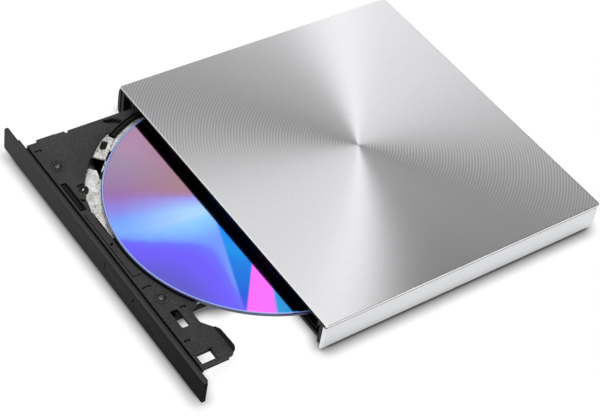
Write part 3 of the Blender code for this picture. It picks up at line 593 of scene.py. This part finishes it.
def merge(*parts):
    """One or more bmeshes as one mesh."""
    whole = bmesh.new()
    for bm in parts:
        bmesh.ops.recalc_face_normals(bm, faces=bm.faces)
        mesh = bpy.data.meshes.new("part")
        bm.to_mesh(mesh)
        bm.free()
        whole.from_mesh(mesh)
        bpy.data.meshes.remove(mesh)
    mesh = bpy.data.meshes.new("merged")
    whole.to_mesh(mesh)
    whole.free()
    return mesh


def stand_up(bm, face_y):
    """Turns a slab drawn in x and z so that its depth runs back from a front face at face_y."""
    turn = Matrix.Rotation(math.radians(90), 3, "X")
    bmesh.ops.rotate(bm, cent=(0, 0, 0), matrix=turn, verts=bm.verts)
    for vert in bm.verts:
        vert.co.y = face_y * MM - vert.co.y


def cut(obj, cutters):
    """Takes a mesh, drawn in the object's own place, out of the object."""
    tool = bpy.data.objects.new("cutters", cutters)
    tool.location = obj.matrix_world.translation
    bpy.context.scene.collection.objects.link(tool)
    modifier = obj.modifiers.new("cut", "BOOLEAN")
    modifier.operation = "DIFFERENCE"
    modifier.solver = "EXACT"
    modifier.use_self = True
    modifier.object = tool
    bpy.context.view_layer.update()
    graph = bpy.context.evaluated_depsgraph_get()
    mesh = bpy.data.meshes.new_from_object(obj.evaluated_get(graph))
    obj.modifiers.clear()
    mesh.set_sharp_from_angle(angle=math.radians(28))
    obj.data = mesh
    bpy.data.objects.remove(tool, do_unlink=True)


def on_tray(u, v):
    """Tray coordinates of a point along (u) and across (v) the sled line."""
    return tuple(Vector(SPINDLE) + Matrix.Rotation(SLED_TURN, 2) @ Vector((u, v)))


# ---------------------------------------------------------------- housing looks

PLATE_SIDE, PLATE_FRONT = 71.05, -66.0
PLATE_LOW, PLATE_TOP = 12.7, 13.9


def make_top_plate():
    """Spun plate with a polished rim; its front edge and underside are black."""
    outline = rounded(rectangle((-PLATE_SIDE, PLATE_FRONT), (PLATE_SIDE, PLATE_BACK)), 1.2, 6)
    bm = slab_bmesh(outline, PLATE_LOW, PLATE_TOP, bevel=0.22, segments=3)
    bm.normal_update()
    for face in bm.faces:
        hidden = face.normal.z < -0.2 or face.normal.y < -0.9
        face.material_index = 0 if face.normal.z > 0.999 else 2 if hidden else 1
    plate = to_object(
        "top_plate_spun", merge(bm), [SPUN, EDGE, FRAME_BLACK], "housing",
        replaces=["top_plate"],
    )
    plate.data.set_sharp_from_angle(angle=math.radians(18))


CORNERS = ["front_left", "front_right", "rear_left", "rear_right"]
FINISHES = [
    (SHELL, ["housing_shell"]),
    # The case, the outer rails and the cover take zinc darkened as painted shade.
    (ZINC_PAINTED_DEEP_SHADE, ["drive_case", "outer_rail_left", "outer_rail_right"]),
    (ZINC_PAINTED_SHADE, ["drive_cover"]),
    (ZINC, ["slider_rail_left", "slider_rail_right", "tray_bottom_cover"]),
    (FRAME_BLACK, ["inner_frame", "pickup_body"]),
    (GRAIN_BLACK, ["latch_lever", "ejector_plunger"]),
    (BOARD, ["bridge_board", "main_board", "switch_board"]),
    (CHIP, ["bridge_chip", "board_connector", "usb_tongue", "controller_chip", "drive_connector"]),
    (CHIP, ["eject_switch", "eject_solenoid", "spindle_motor", "sled_motor"]),
    (STEEL, ["usb_socket", "lock_pin", "latch_spring", "ejector_spring", "lead_screw"]),
    (STEEL, ["guide_rod_1", "guide_rod_2", "clamp_ball_1", "clamp_ball_2", "clamp_ball_3"]),
    (STEEL, ["frame_screw_" + corner for corner in CORNERS]),
    (RUBBER, ["foot_" + corner for corner in CORNERS]),
    (RUBBER, ["grommet_2", "grommet_3", "turntable_ring"]),
    (FLEX, ["flex_cable"]),
    (LENS, ["pickup_lens"]),
]


def dress_solids():
    """Gives the solids that show in their own shape their finishes, on every body."""
    for material, names in FINISHES:
        for name in names:
            for slot in NODES[name].material_slots:
                slot.material = material


# ---------------------------------------------------------------- tray looks

WING_LEFT, WING_RIGHT, WING_BACK = 36.3, 61.9, -48.6
DECK_FRONT, DECK_BACK = -62.5, 54.0
# The recess round the disc, by radius: its front stretch, its back stretch, and between them a wider
# pocket with a toothed edge, between two angles in degrees.
FRONT_R, RECESS_R, POCKET_R = 60.9, 64.8, 66.2
POCKET_START, POCKET_END = 210.3, 263.0
POCKET_STEPS, POCKET_TOOTH = 60, 0.25
TRAY_SCREWS = {"left": (-47.6, -57.3), "right": (27.7, -57.5)}
GROMMET = (-32.8, -54.8)


def deck_outline():
    """Deck seen from above: the disc's recess is a bay in its right side, behind the wing."""
    bay_left = SPINDLE[0] - RECESS_R + 2.6
    side = math.degrees(math.acos((bay_left - SPINDLE[0]) / RECESS_R))
    right = math.degrees(math.acos((WING_LEFT - SPINDLE[0]) / FRONT_R))
    back = math.degrees(math.asin((DECK_BACK - SPINDLE[1]) / RECESS_R))
    front_bay = arc(SPINDLE, FRONT_R, -right, POCKET_END - 360, 40)
    for step in range(1, POCKET_STEPS + 1):
        angle = POCKET_END + (POCKET_START - POCKET_END) * step / POCKET_STEPS
        rise = min(1.0, step / POCKET_STEPS * 1.75)
        radius = FRONT_R + (POCKET_R - FRONT_R) * math.sin(math.pi / 2 * rise)
        tooth = POCKET_TOOTH if step % 7 < 2 and 4 < step < 26 else 0.0
        front_bay += arc(SPINDLE, radius + tooth, angle, angle, 1)[:1]
    front_bay += arc(SPINDLE, RECESS_R, POCKET_START - 0.5, 360 - side, 20)
    rear_bay = arc(SPINDLE, RECESS_R, side, 180 - back, 24)
    wing = [
        (WING_RIGHT, DECK_FRONT), *arc((WING_RIGHT - 1.7, WING_BACK - 1.7), 1.7, 0, 90, 8),
        *arc((48.9, WING_BACK - 3.3), 3.3, 90, 135, 6), *arc((43.0, -49.0), 2.6, -45, -90, 6),
        *arc((40.6, -47.3), 4.3, -90, -172, 12),
    ]
    left = [
        (-63.4, DECK_BACK), (-63.4, -44.4), (-62.4, -44.7), (-62.5, -45.6), (-63.6, -45.9),
        (-63.7, -49.8), (-63.9, -50.1), (-63.9, -57.8), (-62.7, -58.3), (-62.7, DECK_FRONT),
    ]
    return wing + front_bay + rear_bay + left


def slit(x, front, back):
    """A narrow slot across the deck with a short foot at each end, turned opposite ways."""
    return [
        (x, front), (x + 1.0, front), (x + 1.0, front + 0.6), (x + 0.6, front + 0.6),
        (x + 0.6, back - 0.75), (x + 1.1, back - 0.75), (x + 1.1, back), (x, back),
    ]


SLITS = [
    slit(*place) for place in
    ((-58.5, -61.4, -58.7), (20.5, -61.5, -57.9), (34.4, -54.4, -52.1), (48.5, -61.4, -59.2))
]
BAR = ((-38.4, -61.7), (-22.4, -59.1))
DEEP_HOLE = ((34.8, -58.6), (43.3, -55.4))
WING_HOLE = ((55.0, -61.2), (60.3, -54.4))
GROOVES = [
    [(-20.5, -61.65), (14.75, -61.65), (14.75, -57.9), (14.35, -57.9), (14.35, -61.3), (-20.5, -61.3)],
    [(-3.4, -60.8), (-2.3, -60.8), (-2.3, -59.5), (-3.4, -59.5)],
    [(-28.7, -58.8), (-26.9, -58.8), (-26.3, -57.5), (-26.9, -57.0)],
]


def make_deck():
    """The tray's upper skin, with every opening in it cut right through."""
    holes = [
        rounded(rectangle(*DEEP_HOLE), 0.7, 4),
        *[circle(centre, 1.45) for centre in TRAY_SCREWS.values()],
    ]
    bm = slab_bmesh(deck_outline(), DECK_LOW, DECK_TOP, holes, bevel=0.12)
    deck = to_object(
        "tray_deck", merge(bm), [GRAIN_BLACK], "tray_unit", TRAY, ["tray"], 28,
    )
    leaf = [(-62.3, -29.9), (-60.0, -28.8), (-57.8, -23.9), (-59.2, -22.4), (-61.8, -25.2)]
    narrow = [
        rounded(rectangle(*WING_HOLE), 0.3, 3), rounded(leaf, 0.35, 4),
        rounded(rectangle(*BAR), 0.25, 3), *GROOVES, *SLITS,
    ]
    cutters = [slab_bmesh(loop, 6.0, 9.0, bevel=0.0, segments=1) for loop in narrow]
    cutters.append(lathe_bmesh([(0, 6.0), (2.5, 6.0), (2.5, 9.0), (0, 9.0)], GROMMET, 40))
    cut(deck, merge(*cutters))


BODY_LEFT, BODY_RIGHT = -59.9, 36.1
BODY_FRONT, BODY_BACK, BODY_LOW = -60.9, 50.0, 3.8
WALL = 0.7
RUNNER_LOW, RUNNER_TOP, RUNNER_FRONT = 4.55, 5.05, -42.0


def make_tray_body():
    """Walls, runners and ledges under the deck, with the skirts of its two deepest openings."""
    top = DECK_LOW + 0.1
    left, right = BODY_LEFT, BODY_RIGHT
    blocks = [
        # Walls: left, front, two stretches of the right one, and the cross wall behind the chassis.
        ((left, BODY_FRONT, BODY_LOW), (left + WALL, BODY_BACK, top)),
        ((left + 0.1, BODY_FRONT, BODY_LOW), (4.0, BODY_FRONT + WALL, top)),
        ((right - WALL, -57.0, BODY_LOW), (right, -50.5, top)),
        ((right - WALL, RUNNER_FRONT, BODY_LOW), (right, BODY_BACK, top)),
        ((left + 0.1, 32.9, BODY_LOW), (right - 0.1, 32.9 + WALL, top - 0.2)),
        # Runners, which the side rails hold.
        ((left - 2.7, -57.0, RUNNER_LOW), (left + 0.1, BODY_BACK, RUNNER_TOP)),
        ((right - 0.1, RUNNER_FRONT, RUNNER_LOW), (right + 2.7, BODY_BACK, RUNNER_TOP)),
        # Corner of the body at the deep hole, and the skirt at the wing's right edge.
        ((right - 0.2, -58.6, BODY_LOW), (37.0, -57.0, top)),
        ((right - 0.1, -58.9, 6.6), (38.7, -55.1, top)),
        ((WING_RIGHT - WALL, -61.0, 5.6), (WING_RIGHT - 0.1, WING_BACK - 2.2, top)),
        # Block at the ejector plunger, ledge under the front edge, and the leaf opening's floor.
        ((-52.5, 36.2, 4.4), (-47.5, 41.0, top)), ((-62.6, -63.15, 5.9), (61.8, -62.0, 6.7)),
        ((-62.6, -29.6, 6.6), (-57.9, -22.4, 6.95)),
    ]
    parts = [block_bmesh(low, high, 0.08, 1) for low, high in blocks]
    for inner, outer, start, end, low, high in (
        (58.8, 61.3, 263, 303, 6.8, 7.1), (62.5, 65.3, 196, 211.3, 6.5, 7.0),
    ):
        ring = [*arc(SPINDLE, outer, start, end, 30), *arc(SPINDLE, inner, end, start, 30)]
        parts.append(slab_bmesh(ring, low, high, bevel=0.05, segments=1))
    for (low, high), depth in ((DEEP_HOLE, 6.45), (WING_HOLE, 5.0)):
        skirt = rectangle((low[0] - 0.6, low[1] - 0.6), (high[0] + 0.6, high[1] + 0.6))
        parts.append(slab_bmesh(skirt, depth, 6.95, [rectangle(low, high)], bevel=0.04, segments=1))
    # The walls and ledges under the deck take the tray plastic darkened as painted shade.
    to_object("tray_walls", merge(*parts), [TRAY_BLACK_PAINTED_SHADE], "tray_unit", TRAY)


def make_tray_floors():
    """Floors a little below the bar, the grooves and the slits, with a raised bar in the first."""
    margin = 0.3
    floors = []
    for loop in (rectangle(*BAR), *GROOVES, *SLITS):
        xs, ys = zip(*loop)
        low = (min(xs) - margin, max(min(ys) - margin, DECK_FRONT + 0.1), 6.6)
        high = (max(xs) + margin, max(ys) + margin, 6.85)
        floors.append(block_bmesh(low, high, 0.05, 1))
    (bar_left, bar_front), (bar_right, bar_back) = BAR
    low, high = (bar_left + 0.5, bar_front + 0.35, 6.8), (bar_right - 0.5, bar_back - 1.1, 7.7)
    floors.append(block_bmesh(low, high, 0.15, 2))
    to_object("tray_floors", merge(*floors), [TRAY_BLACK_PAINTED_SHADE], "tray_unit", TRAY)


def raised_ring(inner, outer, height):
    """Profile of a low ring on the deck, with its two upper edges taken off."""
    foot, top = DECK_TOP - 0.05, DECK_TOP + height
    return [
        (inner, foot), (inner, top - 0.05), (inner + 0.08, top), (outer - 0.08, top),
        (outer, top - 0.05), (outer, foot),
    ]


def make_tray_rims():
    """Raised rim beside the disc, rings round the screws, and the ledge behind the wing."""
    ring = arc(SPINDLE, 63.9, 196, 210, 40) + arc(SPINDLE, 63.5, 210, 196, 40)
    parts = [slab_bmesh(ring, 6.9, 7.4, bevel=0.08, segments=1)]
    for centre in TRAY_SCREWS.values():
        parts.append(lathe_bmesh(raised_ring(2.7, 3.05, 0.18), centre, 48))
        parts.append(lathe_bmesh(raised_ring(1.5, 1.95, 0.14), centre, 48))
    dimple = [
        (0.35, DECK_TOP - 0.05), (0.35, DECK_TOP + 0.02), (0.6, DECK_TOP + 0.1),
        (0.95, DECK_TOP + 0.1), (1.1, DECK_TOP), (1.1, DECK_TOP - 0.05),
    ]
    parts.append(lathe_bmesh(dimple, (30.5, -53.2), 32))
    to_object("tray_rims", merge(*parts), [GRAIN_BLACK], "tray_unit", TRAY)

    back = [
        (60.7, -52.6), (60.7, -48.9), (59.3, -46.8), (57.8, -46.1), (49.2, -46.4), (47.6, -47.4),
        (46.6, -48.9), (48.6, -50.0), (50.6, -49.4), (58.6, -49.4),
    ]
    bm = slab_bmesh(back, 5.7, DECK_LOW + 0.05, bevel=0.1, segments=1)
    to_object("wing_ledge", merge(bm), [TRAY_BLACK_PAINTED_SHADE], "tray_unit", TRAY)


def make_tray_screws():
    """Cross head screws that stand just proud of the deck."""
    head = [
        (0, 8.1), (0.55, 8.08), (0.95, 7.98), (1.2, 7.8), (1.25, 7.5), (0.7, 7.5), (0.7, 5.0),
        (0, 5.0),
    ]
    for side, centre in TRAY_SCREWS.items():
        screw = to_object(
            "tray_screw_head_" + side, merge(lathe_bmesh(head, steps=32)), [SCREW_STEEL],
            "tray_unit", (centre[0], centre[1] + TRAY_Y, 0), ["tray_screw_" + side],
        )
        cut(screw, merge(
            block_bmesh((-0.8, -0.13, 7.85), (0.8, 0.13, 8.6), 0.01, 1),
            block_bmesh((-0.13, -0.8, 7.86), (0.13, 0.8, 8.61), 0.01, 1),
        ))


def make_grommet():
    """Rubber bush at the edge of the recess, with the steel post in it."""
    place = (GROMMET[0], GROMMET[1] + TRAY_Y, 0)
    bush = [
        (1.0, 7.35), (1.2, 7.5), (1.7, 7.5), (2.0, 7.35), (2.1, 7.1), (2.1, 6.8), (1.6, 6.8),
        (1.6, 5.7), (2.1, 5.7), (2.1, 4.9), (1.0, 4.9),
    ]
    to_object(
        "grommet_bush", merge(lathe_bmesh(bush)), [RUBBER], "tray_unit", place,
        ["grommet_1"],
    )
    post = [(0, 7.3), (0.35, 7.28), (0.6, 7.1), (0.7, 6.9), (0.7, 4.7), (0, 4.7)]
    to_object(
        "grommet_post", merge(lathe_bmesh(post, steps=32)), [STEEL], "tray_unit",
        place,
    )


BEZEL_SIDE, BEZEL_LOW, BEZEL_TOP = 71.1, 1.9, 12.1
BUTTON_MIDDLE = (15.15, 7.7)
BUTTON_GAP = 0.3


def button_outline(grow):
    """Button in the bezel's plane: long and thin, its right end slanted."""
    left, low, top = 5.4 - grow, 6.3 - grow, 9.1 + grow
    return [(left, low), (23.4 + grow, low), (24.9 + grow * 1.3, top), (left, top)]


def make_bezel():
    """Front face and the deeper body behind it, with four tabs that reach under the deck."""
    pin_hole = circle((36.7, 6.6), 0.6, 24)
    face = rounded(rectangle((-BEZEL_SIDE, BEZEL_LOW), (BEZEL_SIDE, BEZEL_TOP)), 0.6, 5)
    body = rounded(rectangle((-67.2, 2.5), (67.2, 7.6)), 0.3, 3)
    well = rectangle((4.0, 5.7), (26.0, 7.3))
    parts = [
        slab_bmesh(face, 0, 1.6, [button_outline(BUTTON_GAP), pin_hole], bevel=0.3, segments=3),
        slab_bmesh(body, 1.3, 4.55, [well, pin_hole], bevel=0.2, segments=2),
    ]
    for bm in parts:
        stand_up(bm, FACE_Y)
    for x in (-50, -12, 32, 58):
        parts.append(block_bmesh((x - 4, -63.5, 5.2), (x + 4, -61.3, 6.5), 0.1, 1))
    to_object(
        "bezel_face", merge(*parts), [BEZEL], "tray_unit", TRAY, ["front_bezel"], 28,
    )


def make_button():
    """Eject button, drawn about its own middle on the face, with a stem behind it."""
    outline = [(x - BUTTON_MIDDLE[0], z - BUTTON_MIDDLE[1]) for x, z in button_outline(0.0)]
    cap = slab_bmesh(rounded(outline, 0.25, 3), 0.05, 3.2, bevel=0.2, segments=3)
    stand_up(cap, 0.0)
    stem = block_bmesh((-2.0, 3.0, -1.0), (2.0, 4.2, 0.4), 0.1, 1)
    to_object(
        "button_cap", merge(cap, stem), [BEZEL], "button",
        (BUTTON_MIDDLE[0], FACE_Y + TRAY_Y, BUTTON_MIDDLE[1]), ["eject_button"],
    )


# ---------------------------------------------------------------- mechanism looks

CHASSIS_LOW, CHASSIS_TOP = 6.0, 6.5


def make_chassis():
    """Mottled sheet under the disc, the raised bracket at its sled end, and the slot through both."""
    def turned(loop):
        return [on_tray(u, v) for u, v in loop]

    window = turned(rounded(rectangle((18.5, -8.5), (60.8, 8.5)), 1.5, 6))
    stadium = turned(rounded(rectangle((62.3, -12.8), (64.8, -7.4)), 1.2, 8))
    notch = turned(rounded(rectangle((60.4, -2.3), (66.6, 3.9)), 0.4, 3))
    corners = [(-58.8, -59.9), (5.0, -59.9), (7.0, -52.6), (35.1, -52.6), (35.1, 32.6), (-57.6, 32.6)]
    holes = [
        circle(SPINDLE, 15.5, 64), circle(GROMMET, 2.0), circle((-52.0, 24.0), 2.0),
        circle((29.0, 24.0), 2.0), circle(TRAY_SCREWS["left"], 1.1), stadium, window, notch,
    ]
    sheet = slab_bmesh(
        rounded(corners, 0.8), CHASSIS_LOW, CHASSIS_TOP, holes, bevel=0.08, segments=1
    )
    to_object(
        "chassis_sheet", merge(sheet), [MOTTLED], "tray_unit", TRAY, ["chassis_plate"],
    )

    ring = rounded([(60.6, -16.2), (65.2, -17.0), (66.2, -9.0), (66.0, -2.5), (60.8, -2.5)], 0.6, 4)
    bracket = slab_bmesh(turned(ring), CHASSIS_TOP - 0.05, 7.0, [stadium], 0.12)
    to_object("chassis_bracket", merge(bracket), [MOTTLED], "tray_unit", TRAY)
    floor = slab_bmesh(stadium, 6.1, 6.35, bevel=0.03, segments=1)
    to_object("slot_floor", merge(floor), [FRAME_BLACK], "tray_unit", TRAY)


BALL_PITCH, BALL_Z, BALL_WINDOW = 6.5, 8.3, 1.15


def make_hub():
    """Turntable with its rounded boss, clamp windows and pad seat."""
    profile = [
        (0, 9.5), (1.2, 9.5), (1.5, 9.3), (2.6, 9.3), (2.9, 9.5), (4.4, 9.5), (5.6, 9.35), (6.5, 9.05),
        (7.05, 8.6), (7.2, 8.1), (7.2, 7.05), (9.6, 7.05), (9.6, 6.5), (13.2, 6.5), (13.2, 7.05),
        (13.8, 7.05), (14.0, 6.9), (14.0, 6.0), (0, 6.0),
    ]
    hub = to_object(
        "hub_turntable", merge(lathe_bmesh(profile, steps=96)), [GRAIN_BLACK], "spindle",
        AXIS, ["spindle_hub"],
    )
    windows = []
    for number in range(3):
        angle = math.tau * number / 3
        middle = Vector((BALL_PITCH * math.cos(angle), BALL_PITCH * math.sin(angle), BALL_Z)) * MM
        bm = bmesh.new()
        bmesh.ops.create_uvsphere(bm, u_segments=24, v_segments=16, radius=BALL_WINDOW * MM)
        bmesh.ops.translate(bm, vec=middle, verts=bm.verts)
        windows.append(bm)
    cut(hub, merge(*windows))


def make_disc():
    """Disc with a moulded ring on its clear hub, mirror band, recording area, clear rim and wall."""
    top, low = 8.6, 7.4
    hub, mirror, data, rim, wall = range(5)
    profile = [
        (59.7, top, wall), (60.0, top - 0.25, wall), (60.0, low + 0.12, wall), (59.88, low, wall),
        (7.5, low, hub), (7.5, top - 0.08, hub), (7.6, top, hub), (10.6, top, hub),
        (10.9, top - 0.12, hub), (11.3, top - 0.12, hub), (11.6, top, hub), (13.0, top, mirror),
        (14.3, top, data), (59.0, top, data), (59.1, top - 0.04, rim), (59.2, top, rim),
    ]
    to_object(
        "disc_layers", merge(lathe_bmesh(profile, steps=256)),
        [CLEAR_HUB, MIRROR, DISC_PAINTED_RAINBOW, CLEAR_RIM_PAINTED_HIGHLIGHT, DISC_WALL_PAINTED_SHADE], "spindle", AXIS, ["disc"], 12,
    )


# ---------------------------------------------------------------- stage, light and camera

FLOOR_PAINTED_SHADOW_REACH = 0.0065


def make_stage():
    """Plain white floor that glows evenly, with a painted soft shadow only where something all but
    touches it.
    """
    floor_mesh = bpy.data.meshes.new("floor")
    bm = bmesh.new()
    bmesh.ops.create_grid(bm, x_segments=1, y_segments=1, size=6.0)
    bm.to_mesh(floor_mesh)
    bm.free()
    floor = bpy.data.objects.new("floor", floor_mesh)
    g = Graph("floor_painted_shadow", 1.0, 0.0, Specular_IOR_Level=0.0, Emission_Strength=1.0)
    g.shader.inputs["Base Color"].default_value = (0.02, 0.02, 0.02, 1)
    # Painted shadow: the glow is darkened where something stands close over the floor.
    near = g.node("AmbientOcclusion", "AO", {"samples": 16}, Distance=FLOOR_PAINTED_SHADOW_REACH)
    shade = g.remap(near, 0.35, 0.93, 0.05, 1.0)
    g.set("Emission Color", g.node("CombineColor", 0, None, i0=shade, i1=shade, i2=shade))
    floor_mesh.materials.append(g.material)
    bpy.context.scene.collection.objects.link(floor)


# Levels of light by direction, and the pairs of cosines between which each changes into the next.
NEAR_LEVEL, FAR_LEVEL, DULL_LEVEL, FRONT_LEVEL = 1.02, 1.95, 0.02, 1.4
LEFT_LOW, LEFT_HIGH = 0.02, 1.3
STRIP_MIDDLE = (-0.5435, 0.5068, 0.669)
STRIP_ACROSS = (-0.543, -0.82, 0.18)
FRONT_AZIMUTH = math.radians(-105)
UP = (0.0, 0.0, 1.0)
STRIP_LENGTH = (0.8, 0.95)
STRIP_RIGHT, STRIP_LEFT = (-0.2, -0.08), (0.13, 0.25)
LEFT_RISE = (0.35, 0.8)
FRONT_SPREAD, FRONT_RISE = (0.1, 0.8), (0.3, 0.55)
HORIZON_FADE = (0.1, 0.17)


def make_light():
    """A tent of soft light: bright towards the front, one bright strip over the back, dull beside it."""
    world = bpy.data.worlds.new("studio")
    world.use_nodes = True
    g = Nodes(world.node_tree)
    direction = g.node("TexCoord", "Generated")

    def along(axis):
        return g.node("VectorMath", "Value", {"operation": "DOT_PRODUCT"}, i0=direction, i1=axis)

    aside = along(STRIP_ACROSS)
    upward = along(UP)
    towards = along((math.cos(FRONT_AZIMUTH), math.sin(FRONT_AZIMUTH), 0.0))
    bright = g.remap(along(STRIP_MIDDLE), *STRIP_LENGTH, FAR_LEVEL, NEAR_LEVEL)
    right = g.remap(aside, *STRIP_RIGHT, DULL_LEVEL, bright)
    beyond = g.remap(upward, *LEFT_RISE, LEFT_LOW, LEFT_HIGH)
    left = g.remap(aside, *STRIP_LEFT, bright, beyond)
    strip = g.math("MINIMUM", right, left)
    height = g.remap(upward, *FRONT_RISE, 0.55, 1.0)
    front = g.math("MULTIPLY", g.remap(towards, *FRONT_SPREAD, 0.0, FRONT_LEVEL), height)
    horizon = g.remap(upward, *HORIZON_FADE, 1.0, 0.0)
    level = g.math("MAXIMUM", g.math("MAXIMUM", strip, front), horizon)
    background = g.tree.nodes["Background"].inputs
    g.feed(background["Strength"], level)
    background["Color"].default_value = (1, 1, 1, 1)
    bpy.context.scene.world = world


CAMERA_PLACE = (0.33952, -0.31438, 0.44098)
CAMERA_RIGHT = (0.56917, 0.81048, 0.13841)
CAMERA_DOWN = (0.63312, -0.32461, -0.70271)


def make_camera():
    """Long lens above the front right corner, looking down, with a slight roll."""
    camera = bpy.data.cameras.new("camera")
    camera.lens = 97.85
    camera.sensor_width = 36.0
    camera.clip_start = 0.01
    obj = bpy.data.objects.new("camera", camera)
    right, up = Vector(CAMERA_RIGHT), -Vector(CAMERA_DOWN)
    turn = Matrix((right, up, right.cross(up))).transposed()
    obj.matrix_world = Matrix.Translation(CAMERA_PLACE) @ turn.to_4x4()
    bpy.context.scene.collection.objects.link(obj)
    bpy.context.scene.camera = obj
    bpy.context.scene.view_settings.view_transform = "Standard"


def clear_startup():
    """Removes the objects that a new file starts with."""
    for name in ("Cube", "Light", "Camera"):
        if name in bpy.data.objects:
            bpy.data.objects.remove(bpy.data.objects[name], do_unlink=True)


clear_startup()
make_top_plate()
dress_solids()
make_deck()
make_tray_body()
make_tray_floors()
make_tray_rims()
make_tray_screws()
make_grommet()
make_bezel()
make_button()
make_chassis()
make_hub()
make_disc()
make_stage()
make_light()
make_camera()
